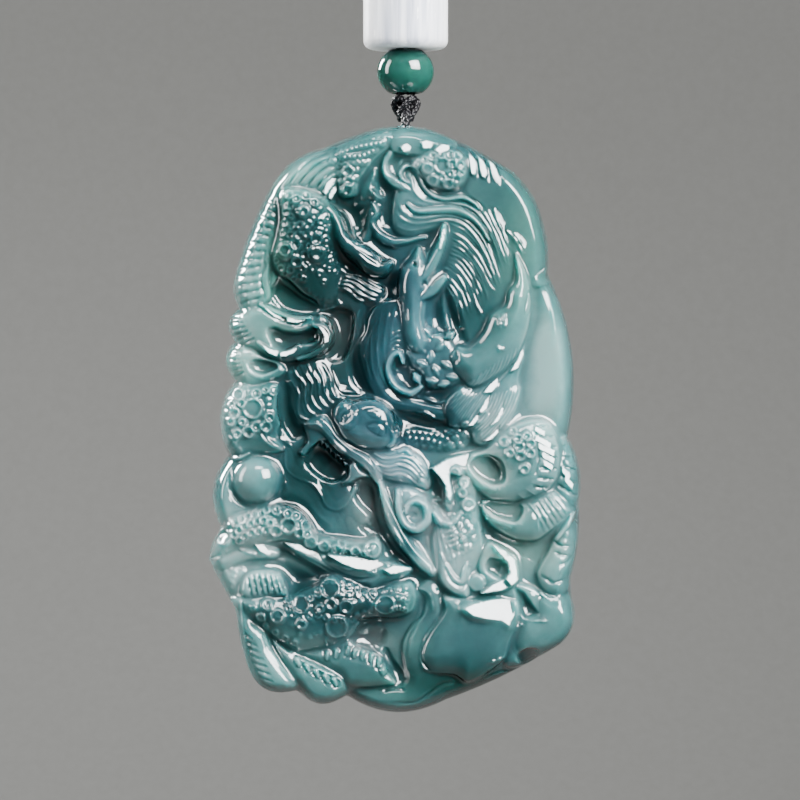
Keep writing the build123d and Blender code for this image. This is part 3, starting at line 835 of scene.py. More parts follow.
roll("curl", -0.2, 0.7, [(552, 66, 3), (530, 62, 5), (516, 74, 6), (524, 86, 5), (542, 92, 3)])
lines("crest lines", 4, -0.35, [(505, 72), (520, 52), (545, 38)], [(500, 92), (512, 78), (530, 62)])

# Crown scales, a patch of round ones in an oval
mound("crown scales", 0.3, 1.0, 1.4, [(546, 60), (570, 45), (605, 35), (650, 32), (687, 42), (698, 65),
    (688, 92), (655, 105), (608, 101), (578, 86)])
scales("crown scales", 0.3, 0.34, [(557, 58, 12), (582, 53, 9), (603, 47, 11), (626, 45, 8), (649, 45, 13),
    (671, 45, 11), (628, 63, 20), (656, 60, 11), (677, 61, 11), (590, 68, 13), (603, 88, 13), (630, 84, 8),
    (652, 76, 8), (645, 94, 12), (668, 86, 11), (680, 76, 8)])

# Right shoulder: broad and smooth, with four lapped plates
mound("right shoulder", -0.1, 0.3, 1.6, [(655, -20), (760, 5), (880, 60), (950, 160), (950, 250), (912, 264),
    (872, 270), (830, 262), (800, 240), (770, 200), (735, 160), (706, 130), (690, 110), (692, 92), (698, 60),
    (682, 28)], cut=0.0, crisp=0.0)
lines("plate edges", 5, 0.25, [(605, 6), (660, 24), (690, 48), (700, 84)],
    [(640, 8), (694, 28), (720, 52), (729, 84)], [(704, 26), (736, 46), (754, 68), (759, 92)],
    [(738, 40), (768, 54), (786, 76), (788, 98)])

# Tail plumes, sweeping over the phoenix to the right
mound("tail field", -0.3, 0.6, 1.4, [(498, 112), (518, 88), (545, 70), (575, 84), (596, 106), (640, 114),
    (700, 116), (742, 126), (770, 136), (802, 172), (832, 212), (828, 258), (808, 277), (796, 302),
    (758, 320), (736, 346), (702, 372), (664, 370), (640, 340), (628, 300), (625, 262), (632, 232),
    (640, 200), (632, 172), (600, 174), (550, 182), (512, 180), (492, 160)], cut=0.0, crisp=0.0)
hollow("feather floor", -2.4, 2.6, [(634, 262), (664, 288), (692, 328), (708, 366), (682, 374), (654, 364),
    (636, 340), (624, 300)])
roll("broad plume", -0.2, 1.0, [(536, 128, 4), (560, 139, 8), (610, 138, 10), (660, 138, 12), (700, 147, 11),
    (732, 165, 8), (756, 190, 5)], cut=0.2)
roll("upper plume", -0.2, 0.8, [(545, 62, 5), (562, 75, 7), (577, 96, 7), (602, 112, 7), (638, 119, 7),
    (684, 116, 8), (716, 126, 6), (730, 136, 4)], cut=0.2)
lines("plume ridges", 4.5, -0.32, [(530, 68), (545, 85), (553, 105), (576, 120), (610, 125), (650, 126),
    (700, 132), (735, 152), (770, 195), (792, 240)], [(510, 120), (520, 138), (545, 150), (580, 151),
    (630, 147), (680, 152), (715, 168), (745, 195), (770, 235), (788, 265)], [(505, 140), (520, 153),
    (550, 160), (600, 158), (650, 155), (690, 165), (725, 190), (755, 225), (775, 255)])
lines("fine plume ridges", 3.5, -0.22, [(620, 111), (660, 107), (705, 111), (735, 127)],
    [(556, 124), (590, 130), (640, 130), (680, 134)], [(720, 140), (745, 160), (770, 185), (795, 225)],
    [(735, 135), (757, 160), (778, 188), (804, 232)], [(748, 133), (768, 160), (790, 190), (812, 236)],
    [(650, 161), (690, 174), (728, 200), (758, 236), (778, 268)],
    [(505, 165), (535, 172), (575, 170), (615, 163)])
lines("tail feathers", 3.6, -0.22, [(637, 172), (665, 179), (700, 194), (735, 224), (764, 262)],
    [(640, 184), (672, 192), (704, 209), (735, 238), (758, 268), (776, 278)],
    [(638, 198), (670, 202), (702, 219), (732, 250), (754, 292)],
    [(648, 211), (680, 221), (710, 244), (738, 284)], [(643, 225), (674, 239), (702, 264), (724, 303)],
    [(620, 236), (652, 241), (682, 263), (703, 300), (708, 314)],
    [(622, 247), (654, 259), (682, 284), (700, 316)], [(630, 258), (656, 272), (676, 298), (688, 326)],
    [(640, 268), (660, 288), (672, 314), (676, 338)], [(714, 294), (726, 306), (740, 320)])
fan("fine feathers", 12, 2.8, -0.1, [(660, 168), (700, 186), (740, 220), (778, 262)],
    [(634, 262), (652, 282), (664, 308), (670, 332)])
lines("fine tail feathers", 3.2, -0.15, [(640, 178), (672, 186), (704, 203), (738, 232)],
    [(640, 191), (674, 198), (706, 215), (736, 246), (756, 280)],
    [(644, 205), (678, 212), (708, 233), (736, 268)], [(646, 218), (678, 230), (708, 256), (732, 296)],
    [(640, 232), (668, 240), (692, 262), (714, 306)])
lines("shoulder strands", 4, -0.3, [(768, 133), (774, 150), (790, 172), (806, 200)],
    [(800, 172), (826, 188), (848, 214)], [(820, 176), (838, 190), (852, 206)])

# Wing and the pale slab at the right edge
mound("side slab", -0.9, 0.8, 3.0, [(876, 256), (950, 235), (1020, 330), (1030, 480), (1000, 545),
    (945, 522), (915, 498), (870, 495), (845, 485), (830, 455), (836, 425), (850, 385), (858, 350),
    (872, 325), (874, 290)], cut=0.15)
lines("slab edge", 5, -0.3, [(903, 262), (918, 285), (930, 320), (936, 352)])
mound("wing", 0.0, 2.1, 2.8, [(826, 212), (850, 235), (866, 268), (870, 305), (862, 340), (842, 375),
    (806, 405), (764, 426), (712, 441), (672, 424), (654, 402), (664, 372), (702, 369), (737, 345),
    (758, 316), (796, 300), (806, 276), (826, 256)])
lines("wing loop", 4, 0.3, [(850, 318), (853, 300), (862, 276), (869, 290), (866, 308), (857, 320)])
lines("wing marks", 6, -0.3, [(780, 315), (783, 328), (786, 340)], [(793, 312), (796, 325), (795, 338)],
    [(775, 370), (785, 376), (798, 374)])

# Ribbons between the back and the phoenix
roll("ribbon", -0.3, 1.5, [(322, 136, 13), (343, 155, 16), (356, 180, 20), (380, 200, 24), (408, 214, 28),
    (438, 230, 30), (464, 238, 24), (490, 228, 8)])
fan("ribbon strands", 6, 4.5, -0.32, [(335, 140), (354, 165), (370, 185), (398, 194), (430, 200),
    (458, 212)], [(326, 160), (338, 186), (354, 206), (385, 212), (405, 226), (425, 246), (458, 254)])
mound("second ribbon", -1.2, 1.0, 1.0, [(342, 262), (365, 246), (405, 246), (440, 256), (475, 274),
    (460, 300), (430, 300), (395, 290), (355, 282)])
fan("second ribbon strands", 5, 5, -0.4, [(372, 246), (400, 249), (436, 262), (474, 274)],
    [(338, 272), (370, 274), (402, 290), (446, 302)])

# Phoenix
mound("breast", -0.5, 1.0, 3.4, [(430, 318), (455, 298), (500, 288), (545, 300), (570, 340), (560, 372),
    (520, 385), (500, 405), (492, 432), (508, 449), (545, 460), (600, 470), (650, 474), (700, 470),
    (690, 488), (650, 500), (610, 498), (560, 486), (510, 483), (465, 470), (435, 446), (415, 415),
    (402, 386), (404, 364), (420, 345)])
lines("breast strands", 3.4, -0.22, [(452, 312), (440, 345), (436, 380), (446, 420), (470, 452)],
    [(468, 306), (458, 340), (454, 378), (462, 415), (484, 445)],
    [(488, 300), (478, 335), (472, 372), (476, 400)], [(508, 298), (496, 330), (488, 362)],
    [(436, 350), (424, 372), (424, 400), (438, 432)])
fan("breast feathers", 5, 4, -0.22, [(485, 357), (502, 347), (522, 342)],
    [(478, 388), (498, 378), (522, 384)])
hollow("pocket", -1.0, 0.8, [(498, 398), (520, 392), (545, 402), (570, 415), (574, 432), (556, 443),
    (520, 442), (500, 424)])
roll("pocket rim", 0.0, 1.0, [(524, 398, 6), (512, 382, 8), (492, 388, 9), (482, 408, 9), (492, 430, 10),
    (514, 444, 10), (546, 450, 10), (572, 440, 7)])
mound("rosette", -0.4, 1.2, 1.0, [(530, 378), (560, 372), (600, 348), (640, 352), (665, 372), (672, 400),
    (690, 425), (660, 440), (620, 445), (585, 440), (575, 420), (545, 405)])
leaf_half_wide, leaf_half_tall = 13, 9
ROSETTE_LEAVES = [
    (548, 366, 60), (572, 374, 40), (588, 346, 50), (597, 390, 100), (575, 400, 20), (622, 372, -40),
    (648, 352, -30), (640, 403, 30), (612, 412, 60), (660, 388, 100), (655, 424, 10), (600, 430, 10),
    (632, 436, -10), (560, 425, 60)]
for x, y, leaf_turn in ROSETTE_LEAVES:
    half_x = leaf_half_wide * np.cos(np.radians(leaf_turn))
    half_y = leaf_half_tall * np.sin(np.radians(leaf_turn))
    roll("rosette leaf", 0.3, 0.8, [(x - half_x, y - half_y, 4), (x, y, 12), (x + half_x, y + half_y, 4)])
mound("neck", -0.5, 2.5, 2.0, [(566, 199), (578, 210), (592, 224), (602, 245), (602, 264), (592, 282),
    (588, 302), (586, 325), (592, 345), (598, 362), (578, 384), (545, 380), (525, 356), (518, 330),
    (515, 305), (508, 280), (509, 255), (520, 235), (540, 222), (552, 210)])
roll("horn", 0.4, 1.5, [(635, 164, 6), (631, 186, 11), (616, 212, 15), (594, 238, 16), (570, 258, 13)])
roll("comb", 0.4, 1.2, [(634, 253, 8), (622, 262, 13), (600, 276, 15), (574, 287, 12)])
hollow("eye socket", -0.1, 0.3, disc(556, 231, 7, 1.2))
hollow("second socket", -0.1, 0.3, disc(580, 264, 9, 1.1))
hollow("oval hollow", -1.8, 1.0, [(592, 300), (604, 291), (622, 298), (634, 320), (632, 344), (613, 350),
    (598, 342), (590, 322)])
lines("lower folds", 6, -0.4, [(575, 452), (600, 447), (622, 440)],
    [(578, 458), (600, 464), (622, 468), (640, 462), (662, 455)], [(538, 453), (555, 458), (572, 455)],
    [(636, 472), (655, 470), (676, 462)], [(560, 485), (580, 484), (600, 490), (612, 497)])

# Wing tips, flowing down to the left
mound("wing tips", -0.4, 1.2, 1.6, [(856, 350), (850, 392), (838, 425), (842, 450), (832, 478), (800, 512),
    (762, 532), (742, 542), (712, 536), (700, 515), (650, 510), (640, 496), (630, 475), (650, 450),
    (676, 430), (714, 443), (766, 428), (808, 406), (842, 378)])
fan("wing tip strands", 14, 3.2, -0.42, [(702, 432), (682, 442), (655, 455), (628, 466)],
    [(852, 362), (836, 395), (802, 418), (764, 440), (730, 468), (690, 508)])
fan("lower strands", 9, 3.2, -0.42, [(764, 452), (750, 474), (730, 492), (708, 504)],
    [(842, 440), (818, 478), (782, 512), (742, 538)])
mound("white patch", 0.4, 0.5, 0.4, [(740, 446), (752, 440), (772, 430), (776, 422), (782, 432), (776, 446),
    (750, 453)])
roll("small curl", 0.3, 0.7, [(722, 498, 7), (738, 500, 8), (750, 490, 7), (744, 478, 5)])

# A low dotted coil below the phoenix
mound("dotted coil", -1.1, 1.1, 1.2, [(505, 512), (560, 509), (610, 514), (650, 503), (700, 500), (722, 512),
    (705, 540), (660, 552), (600, 552), (545, 545), (512, 540)])
scales("coil beads", 0.6, 0.14, [(666, 513, 10), (690, 506, 10), (686, 521, 9), (665, 528, 9), (648, 517, 8),
    (652, 541, 10), (706, 524, 7), (676, 541, 7)])
rows_of_scales("dots", (9, 5, [(518, 518), (560, 516), (610, 522), (640, 530)]),
    (8, 5, [(522, 527), (560, 530), (600, 533), (635, 542)]),
    (6, 5, [(535, 537), (570, 541), (600, 545), (640, 549)]), rise=0.7, ring_rise=0.05)

# Hooked lip and the two plate lobes below it
mound("hooked lip", -0.4, 1.2, 1.2, [(30, 310), (90, 306), (140, 300), (172, 311), (206, 322), (240, 328),
    (272, 325), (300, 316), (320, 322), (332, 338), (334, 354), (322, 372), (300, 384), (262, 393),
    (225, 399), (190, 397), (150, 386), (110, 372), (60, 366), (25, 340)])
hollow("hook recess", -1.3, 1.0, [(153, 341), (176, 334), (206, 340), (242, 342), (280, 335), (296, 345),
    (298, 360), (280, 368), (246, 372), (216, 380), (185, 378), (165, 367)])
roll("recess lip", -0.1, 0.9, [(138, 299, 5), (170, 310, 9), (205, 320, 10), (240, 325, 10), (274, 321, 5)],
    cut=0.1)
roll("second lip", -0.3, 0.6, [(190, 331, 4), (215, 333, 7), (245, 331, 4)], cut=0.1)
roll("hook", 0.0, 1.4, [(284, 334, 9), (306, 338, 15), (322, 352, 15), (312, 371, 13), (280, 384, 11),
    (240, 392, 7)])
roll("hook lip", 0.1, 0.9, [(133, 364, 6), (160, 376, 11), (190, 383, 12), (218, 381, 11), (243, 370, 6)],
    cut=0.1)
rungs("second plate ribs", 7, 6, 0.4, [(64, 312), (48, 330), (50, 350), (78, 370)],
    [(92, 312), (92, 326), (104, 342), (124, 356)])
mound("third plate", -0.4, 1.1, 1.3, [(50, 366), (110, 374), (150, 388), (195, 399), (208, 412), (196, 423),
    (165, 431), (120, 437), (60, 434), (20, 415), (20, 385)])
hollow("oval recess", -0.9, 0.6, [(103, 399), (120, 390), (150, 392), (180, 398), (188, 409), (165, 418),
    (140, 421), (116, 415)])
roll("oval lip", -0.1, 0.7, [(94, 396, 4), (104, 409, 6), (120, 419, 7), (142, 425, 5)], cut=0.1)
roll("oval end", -0.1, 0.6, [(176, 421, 4), (190, 418, 6), (202, 411, 4)], cut=0.1)
rungs("third plate ribs", 6, 6, 0.4, [(62, 372), (42, 390), (44, 408), (62, 424)],
    [(88, 378), (82, 392), (86, 402), (96, 414)])

# Scaled flank, the pearl and the lobe behind it
mound("scaled flank", -0.3, 1.5, 2.4, [(60, 432), (120, 437), (165, 432), (190, 440), (206, 470), (196, 500),
    (186, 520), (194, 538), (200, 549), (190, 553), (150, 556), (110, 556), (50, 560), (15, 540), (0, 500),
    (10, 450), (30, 432)])
hollow("mane hollow", -1.7, 0.6, [(184, 432), (205, 430), (218, 450), (223, 476), (236, 500), (258, 511),
    (264, 522), (240, 533), (220, 534), (202, 520), (186, 500), (178, 475)])
scales("flank scales", 0.15, 0.38, [(118, 477, 25), (78, 452, 14), (128, 451, 12), (152, 446, 8),
    (176, 446, 13), (68, 485, 13), (155, 508, 13), (128, 508, 12), (107, 517, 14), (164, 492, 11),
    (88, 468, 10), (90, 500, 9), (60, 470, 9), (58, 500, 9), (76, 520, 10)])
rows_of_scales("flank dots", (5, 6, [(158, 462), (157, 476), (150, 492), (146, 502)]),
    rise=0.5, ring_rise=0.08)
rows_of_scales("flank edge", (8, 8, [(48, 445), (40, 470), (34, 500), (46, 535)]))
rows_of_scales("flank foot", (5, 7, [(52, 530), (72, 532), (60, 548), (80, 548)]))
rows_of_scales("flank top", (5, 7, [(68, 440), (88, 440), (108, 446), (108, 458)]))
lines("flank edge strands", 3.4, -0.2, [(134, 515), (148, 530), (170, 541), (202, 549)],
    [(152, 518), (162, 531), (184, 541), (212, 546)], [(178, 515), (195, 530), (218, 540), (224, 549)])
mound("pearl lobe", -0.5, 0.9, 1.8, [(60, 557), (110, 557), (70, 572), (60, 600), (72, 632), (105, 648),
    (80, 668), (40, 695), (0, 695), (-30, 640), (-20, 590), (10, 557)])
mound("pearl", -0.8, 2.9, 2.97, disc(128, 600, 69), cut=0.3, crisp=0.0)
roll("pearl claw", 0.0, 0.7, [(60, 562, 5), (80, 562, 6), (108, 553, 4)])

# Mane
mound("mane", -0.6, 0.9, 2.4, [(200, 410), (240, 395), (290, 390), (316, 400), (332, 418), (344, 440),
    (366, 458), (350, 464), (338, 482), (320, 500), (298, 516), (262, 511), (236, 504), (224, 480),
    (222, 455), (206, 432)], cut=0.0, crisp=0.0)
lines("mane strands", 3.2, -0.33, [(212, 412), (222, 430), (241, 452), (237, 475), (245, 491), (270, 498),
    (318, 505)], [(226, 403), (236, 420), (258, 436), (259, 462), (268, 480), (290, 490)],
    [(243, 398), (256, 416), (276, 434), (276, 456), (286, 472), (312, 486)],
    [(262, 396), (274, 414), (294, 430), (297, 456), (308, 470), (328, 478)],
    [(284, 398), (306, 425), (312, 448), (325, 464), (340, 470)],
    [(304, 400), (326, 420), (332, 444), (345, 459), (366, 457), (400, 459)],
    [(330, 410), (344, 434), (356, 448), (385, 450), (404, 453)])
lines("fine mane strands", 2.6, -0.16, [(222, 440), (224, 468), (234, 490), (258, 507)],
    [(230, 402), (248, 424), (250, 455), (256, 480), (276, 491)],
    [(252, 398), (266, 422), (267, 450), (277, 474)], [(271, 394), (284, 420), (286, 452), (298, 474)],
    [(307, 392), (318, 416), (330, 452), (342, 460)])

# Dragon's head: eye, snout, jaws, whiskers and the open mouth
mound("cheek", -0.9, 0.8, 3.0, [(190, 556), (215, 592), (255, 606), (292, 628), (312, 652), (345, 656),
    (365, 682), (342, 702), (300, 697), (288, 676), (245, 652), (190, 645), (150, 640), (180, 610)])
mound("jaw wall", -0.6, 1.0, 0.7, [(250, 500), (290, 505), (312, 520), (325, 535), (305, 533), (280, 545),
    (262, 560), (240, 552), (262, 532)])
hollow("mouth", -2.4, 0.45, [(255, 562), (266, 548), (286, 536), (305, 532), (330, 548), (352, 560),
    (372, 571), (378, 582), (370, 592), (352, 603), (325, 606), (292, 596), (264, 580)])
mound("mouth skin", -0.6, 1.1, 0.6, [(376, 572), (395, 566), (412, 582), (440, 594), (405, 598), (382, 606),
    (356, 606), (372, 592)])
roll("lower jaw", -0.7, 0.3, [(210, 552, 12), (220, 582, 16), (256, 596, 17), (296, 614, 18), (322, 640, 14),
    (356, 644, 14), (394, 614, 7)])
lines("jaw line", 3.4, -0.2, [(204, 552), (204, 572), (216, 588), (240, 598), (280, 608), (300, 625),
    (312, 641), (332, 650), (352, 650), (376, 636), (396, 612)])
mound("upper lip", -0.1, 1.1, 1.4, [(262, 500), (300, 488), (325, 496), (348, 518), (385, 540), (432, 556),
    (462, 572), (470, 600), (450, 606), (425, 585), (395, 570), (370, 560), (345, 552), (325, 538),
    (300, 520), (270, 512)])
lines("lip strands", 3.4, -0.33, [(262, 504), (292, 504), (322, 522), (345, 540), (385, 560), (425, 578),
    (448, 604)], [(300, 494), (325, 508), (345, 526), (380, 546), (420, 562), (452, 584)],
    [(322, 492), (340, 510), (362, 530), (395, 546), (435, 552), (470, 552)])
for x, y in ((304, 534), (317, 541), (329, 548), (342, 556), (354, 562), (367, 571)):
    mound("tooth", -0.1, 0.3, 0.3, [(x - 7, y - 6), (x + 8, y + 1), (x - 2, y + 7)], cut=0.0, sharp=True,
          crisp=0.0)
mound("snout", 0.2, 2.0, 2.0, [(345, 500), (372, 475), (400, 464), (448, 462), (486, 476), (505, 502),
    (500, 532), (476, 546), (432, 547), (392, 540), (358, 524)])
mound("snout ridge", 1.5, 0.4, 0.5, [(428, 508), (445, 503), (466, 506), (474, 516), (466, 523), (446, 518)],
    cut=0.15)
mound("brow", 1.6, 0.3, 0.4, [(426, 482), (444, 480), (458, 484), (454, 492), (436, 490)], cut=0.1)
mound("eye", 0.2, 1.4, 1.4, disc(368, 488, 35, 1.15), cut=0.1)
lines("pupil", 4, 0.3, disc(366, 493, 9, 1.2))
lines("eye ridges", 4, -0.35, [(380, 478), (392, 482), (390, 492), (380, 500)],
    [(338, 478), (345, 466), (365, 459), (392, 462), (402, 472)])
roll("nostril", 0.8, 0.9, [(478, 506, 6), (494, 516, 9), (498, 532, 8), (484, 542, 5)])
roll("nostril wing", 0.5, 0.4, [(496, 498, 5), (508, 512, 6), (508, 530, 5)])
mound("whiskers", -0.3, 1.1, 1.4, [(432, 548), (470, 545), (520, 545), (560, 554), (586, 574), (602, 602),
    (588, 616), (556, 610), (520, 606), (480, 600), (448, 582)])
lines("whisker strands", 4, -0.34, [(432, 556), (455, 572), (482, 577), (510, 573), (540, 579), (566, 595),
    (590, 612)], [(440, 550), (466, 561), (494, 562), (522, 558), (550, 565), (576, 583), (598, 602)],
    [(440, 566), (462, 584), (488, 591), (514, 589), (540, 596), (568, 610)],
    [(474, 548), (502, 549), (530, 550), (558, 558), (582, 576)])
lines("fine whisker strands", 3, -0.2, [(436, 553), (460, 567), (488, 569), (516, 565), (545, 572),
    (572, 590), (594, 608)], [(436, 561), (458, 578), (485, 584), (512, 581), (540, 587), (566, 603)],
    [(456, 550), (484, 555), (512, 553), (540, 557), (566, 570), (592, 592)])
roll("lip curl", 0.2, 0.7, [(512, 552, 5), (530, 548, 7), (545, 556, 6)])

# Throat: collar band, fins in the hollow and the curl
roll("throat fin", -1.8, 0.7, [(392, 652, 6), (402, 664, 9), (430, 674, 7)])
roll("throat fin", -1.7, 0.8, [(376, 668, 8), (386, 682, 12), (408, 692, 8)])
roll("throat fin", -1.7, 0.8, [(345, 690, 8), (352, 672, 9), (360, 662, 6)])
roll("collar", -0.3, 1.5, [(462, 605, 8), (476, 635, 13), (495, 670, 19), (530, 705, 22), (568, 735, 22),
    (602, 756, 16)])
lines("collar strands", 4, -0.4, [(478, 612), (492, 648), (520, 688), (556, 722), (596, 745)],
    [(464, 628), (478, 656), (500, 686), (534, 720), (570, 748)])
mound("curl base", 0.0, 1.1, 1.2, [(505, 620), (540, 612), (585, 628), (598, 655), (590, 680), (560, 690),
    (530, 685), (508, 660)])
roll("curl", 0.7, 1.1, [(510, 618, 7), (512, 648, 10), (530, 675, 12), (560, 683, 13), (588, 668, 12),
    (585, 645, 11), (560, 634, 9), (538, 640, 8), (530, 654, 7)])
hollow("curl eye", 0.2, 0.5, disc(548, 659, 15, 0.7))
mound("curl disc", 0.3, 0.4, 0.4, disc(548, 659, 9, 0.8), cut=0.0)
scales("curl beads", 0.6, 0.14, [(575, 605, 9), (587, 618, 8), (590, 632, 8), (592, 645, 7), (562, 612, 7),
    (578, 590, 7)])

# The second beast: facet, beads, haunch, coin and six-sided ring
mound("beast's shoulder", -0.3, 0.5, 1.2, [(588, 640), (620, 630), (650, 650), (650, 770), (600, 770),
    (570, 720), (574, 670)], cut=0.0)
mound("beast", 0.0, 1.3, 1.8, [(606, 640), (640, 655), (662, 600), (700, 588), (720, 612), (726, 655),
    (738, 690), (740, 720), (720, 750), (700, 778), (690, 800), (640, 786), (606, 752), (598, 712),
    (604, 670)])
mound("facet", 0.7, 0.35, 0.4, [(602, 577), (640, 563), (702, 554), (692, 574), (688, 592), (670, 592),
    (652, 588), (648, 612), (662, 642), (652, 656), (634, 642), (640, 612), (628, 592)], sharp=True)
scales("beads", 0.5, 0.45, [(662, 587, 14), (688, 604, 12), (683, 621, 11), (700, 641, 16)])
roll("brow", 0.8, 0.9, [(608, 655, 8), (628, 672, 12), (655, 672, 10), (680, 655, 6)])
fan("brow strands", 4, 4, -0.35, [(632, 690), (660, 684), (690, 662)], [(640, 716), (672, 706), (706, 684)])
rows_of_scales("muzzle beads", (6, 7, [(690, 655), (712, 662), (706, 682), (688, 700)]),
    (5, 6, [(676, 664), (694, 674), (716, 694), (700, 712)]), rise=0.5, ring_rise=0.12)
rows_of_scales("muzzle scales", (6, 7, [(640, 668), (662, 690), (668, 712)]),
    (6, 7, [(655, 660), (680, 684), (686, 712)]))
rows_of_scales("muzzle dots", (6, 5, [(650, 735), (668, 728), (690, 722), (706, 716)]),
    rise=0.6, ring_rise=0.06)
mound("haunch", 0.5, 1.2, 1.4, [(622, 722), (640, 745), (662, 768), (682, 776), (690, 756), (705, 748),
    (706, 780), (696, 800), (660, 795), (622, 770)])
lines("haunch line", 4, -0.35, [(620, 720), (640, 744), (660, 764), (682, 775), (690, 758), (696, 746),
    (710, 744)])
mound("ring", 0.5, 0.6, 0.8, [(728, 735), (742, 715), (762, 706), (800, 722), (828, 732), (834, 772),
    (800, 790), (750, 796), (735, 770), (726, 755)])
hollow("ring hole", 0.2, 0.5, [(742, 742), (756, 730), (785, 732), (808, 742), (812, 762), (790, 772),
    (762, 764), (746, 756)])
hollow("ring eye", -0.5, 0.4, disc(770, 749, 19, 1.0))
mound("coin", 0.8, 0.5, 0.8, disc(722, 775, 24, 1.05), cut=0.2)
lines("haunch strands", 3, -0.18, [(640, 790), (662, 800), (690, 803)], [(628, 768), (650, 786), (682, 794)])
lines("beast's mane", 3.5, -0.26, [(608, 650), (616, 690), (628, 728), (640, 765)],
    [(598, 668), (604, 704), (612, 742), (622, 778)], [(588, 696), (594, 728), (602, 762)],
    [(620, 668), (630, 700), (644, 728)])
lines("muzzle strands", 3, -0.2, [(646, 690), (664, 702), (672, 722), (668, 742)],
    [(660, 684), (680, 698), (690, 718), (686, 736)], [(634, 700), (650, 714), (658, 734), (656, 752)])
roll("haunch hook", 0.9, 0.7, [(640, 745, 6), (662, 768, 9), (682, 772, 9), (690, 752, 7), (696, 742, 4)])

# Body coils at the right
mound("first coil", 0.0, 1.8, 2.6, [(700, 556), (745, 546), (788, 518), (838, 500), (882, 495), (922, 505),
    (948, 540), (948, 585), (926, 611), (882, 627), (800, 640), (742, 628), (702, 602), (690, 576)])
hollow("first recess", 0.2, 0.45, [(698, 575), (712, 558), (748, 552), (785, 560), (802, 580), (798, 604),
    (764, 610), (726, 598)])
roll("first lip", 0.1, 0.9, [(688, 566, 6), (696, 586, 9), (722, 604, 10), (768, 615, 6)], cut=0.1)
scales("coil scales", 0.15, 0.34, [(795, 533, 12), (833, 528, 11), (857, 524, 10), (836, 542, 12),
    (867, 536, 11), (838, 557, 12), (866, 553, 11), (850, 580, 11), (810, 552, 10), (820, 515, 9)])
rungs("coil ribs", 7, 6, 0.5, [(878, 508), (890, 530), (892, 560), (886, 590), (872, 610)],
    [(922, 508), (938, 535), (942, 565), (932, 596), (912, 612)])
lines("coil edge", 5, 0.4, [(874, 505), (886, 528), (888, 560), (880, 590)],
    [(905, 498), (935, 525), (948, 560), (940, 595), (925, 612)])
mound("edge coil", -0.2, 1.2, 1.8, [(950, 525), (990, 530), (1015, 590), (1020, 645), (1000, 660),
    (962, 650), (935, 628), (938, 600), (952, 575), (955, 548)])
rungs("edge ribs", 7, 6, 0.5, [(950, 545), (955, 575), (945, 600), (925, 618), (905, 630)],
    [(965, 540), (992, 585), (996, 625), (988, 648), (962, 664)])
mound("second coil", 0.0, 1.6, 2.2, [(735, 642), (742, 634), (800, 638), (850, 640), (888, 630), (930, 618),
    (980, 640), (990, 655), (965, 668), (922, 688), (880, 704), (830, 702), (782, 688), (745, 668)])
hollow("second recess", 0.1, 0.35, [(738, 642), (770, 632), (820, 635), (848, 643), (846, 660), (826, 672),
    (790, 668), (760, 659)])
roll("second lip", 0.0, 0.5, [(734, 644, 6), (752, 662, 8), (780, 674, 8), (812, 681, 5)], cut=0.1)
rungs("second coil ribs", 6, 5, 0.26, [(872, 648), (884, 640), (898, 632), (915, 622)],
    [(905, 690), (925, 684), (945, 672), (965, 660)])
lines("coil arcs", 3.5, -0.24, [(868, 602), (900, 612), (925, 634), (934, 660)],
    [(850, 612), (882, 626), (906, 648), (914, 676)], [(832, 622), (862, 638), (884, 660), (890, 690)])
hollow("third recess", -0.5, 0.4, [(732, 686), (760, 683), (800, 696), (850, 709), (900, 706), (930, 692),
    (918, 720), (892, 744), (850, 735), (812, 724), (772, 706), (742, 702)])
mound("third coil", -0.3, 1.3, 1.8, [(945, 668), (990, 670), (1020, 700), (1015, 770), (990, 795),
    (940, 800), (900, 788), (884, 764), (892, 745), (916, 720), (930, 695)])
roll("fin edge", 0.5, 0.8, [(938, 700, 5), (968, 676, 8), (985, 656, 6)])
lines("third coil folds", 6, 0.4, [(925, 700), (950, 712), (980, 712)], [(930, 722), (955, 728), (975, 728)],
    [(945, 745), (965, 740), (980, 728)], [(895, 762), (930, 775), (965, 768)])
rows_of_scales("edge dots", (3, 6, [(972, 678), (965, 692), (957, 706)]), rise=0.6, ring_rise=0.08)

# Lower left: the scaled coil, its plates, the ribbed fin and the lower coil
mound("scaled coil", 0.0, 1.5, 1.8, [(20, 690), (60, 664), (100, 655), (150, 646), (205, 642), (252, 655),
    (290, 690), (330, 698), (380, 703), (420, 704), (456, 700), (466, 720), (450, 736), (420, 736),
    (380, 729), (320, 726), (270, 720), (215, 706), (170, 706), (120, 713), (80, 716), (40, 727), (-10, 735),
    (-5, 705)])
scales("coil scales", 0.1, 0.42, [(38, 698, 18), (72, 670, 12), (182, 651, 11), (213, 656, 11),
    (215, 677, 19), (180, 686, 14), (235, 660, 11), (262, 675, 12), (245, 690, 12), (265, 692, 11),
    (275, 706, 15), (310, 712, 14), (345, 718, 13), (358, 707, 11), (373, 723, 10), (395, 720, 11),
    (441, 718, 21), (418, 725, 8), (155, 650, 8), (165, 672, 9)])
rows_of_scales("coil rows", (6, 9, [(56, 682), (88, 665), (115, 658), (142, 657)]),
    (6, 9, [(68, 693), (90, 680), (118, 672), (148, 668)]),
    (5, 9, [(80, 703), (104, 692), (130, 687), (154, 685)]), rise=0.1, ring_rise=0.36)
mound("smooth plates", -0.2, 1.3, 1.1, [(198, 704), (250, 714), (300, 725), (370, 729), (450, 736),
    (510, 742), (550, 752), (522, 768), (470, 778), (440, 788), (400, 780), (350, 768), (300, 752),
    (260, 738), (225, 722)])
lines("plate ridges", 7, -0.5, [(205, 708), (240, 718), (280, 729), (330, 727), (385, 734)],
    [(328, 738), (380, 751), (435, 738), (455, 742)], [(410, 747), (430, 753), (450, 758)],
    [(455, 752), (478, 744), (495, 738)], [(488, 752), (520, 750), (548, 750)])
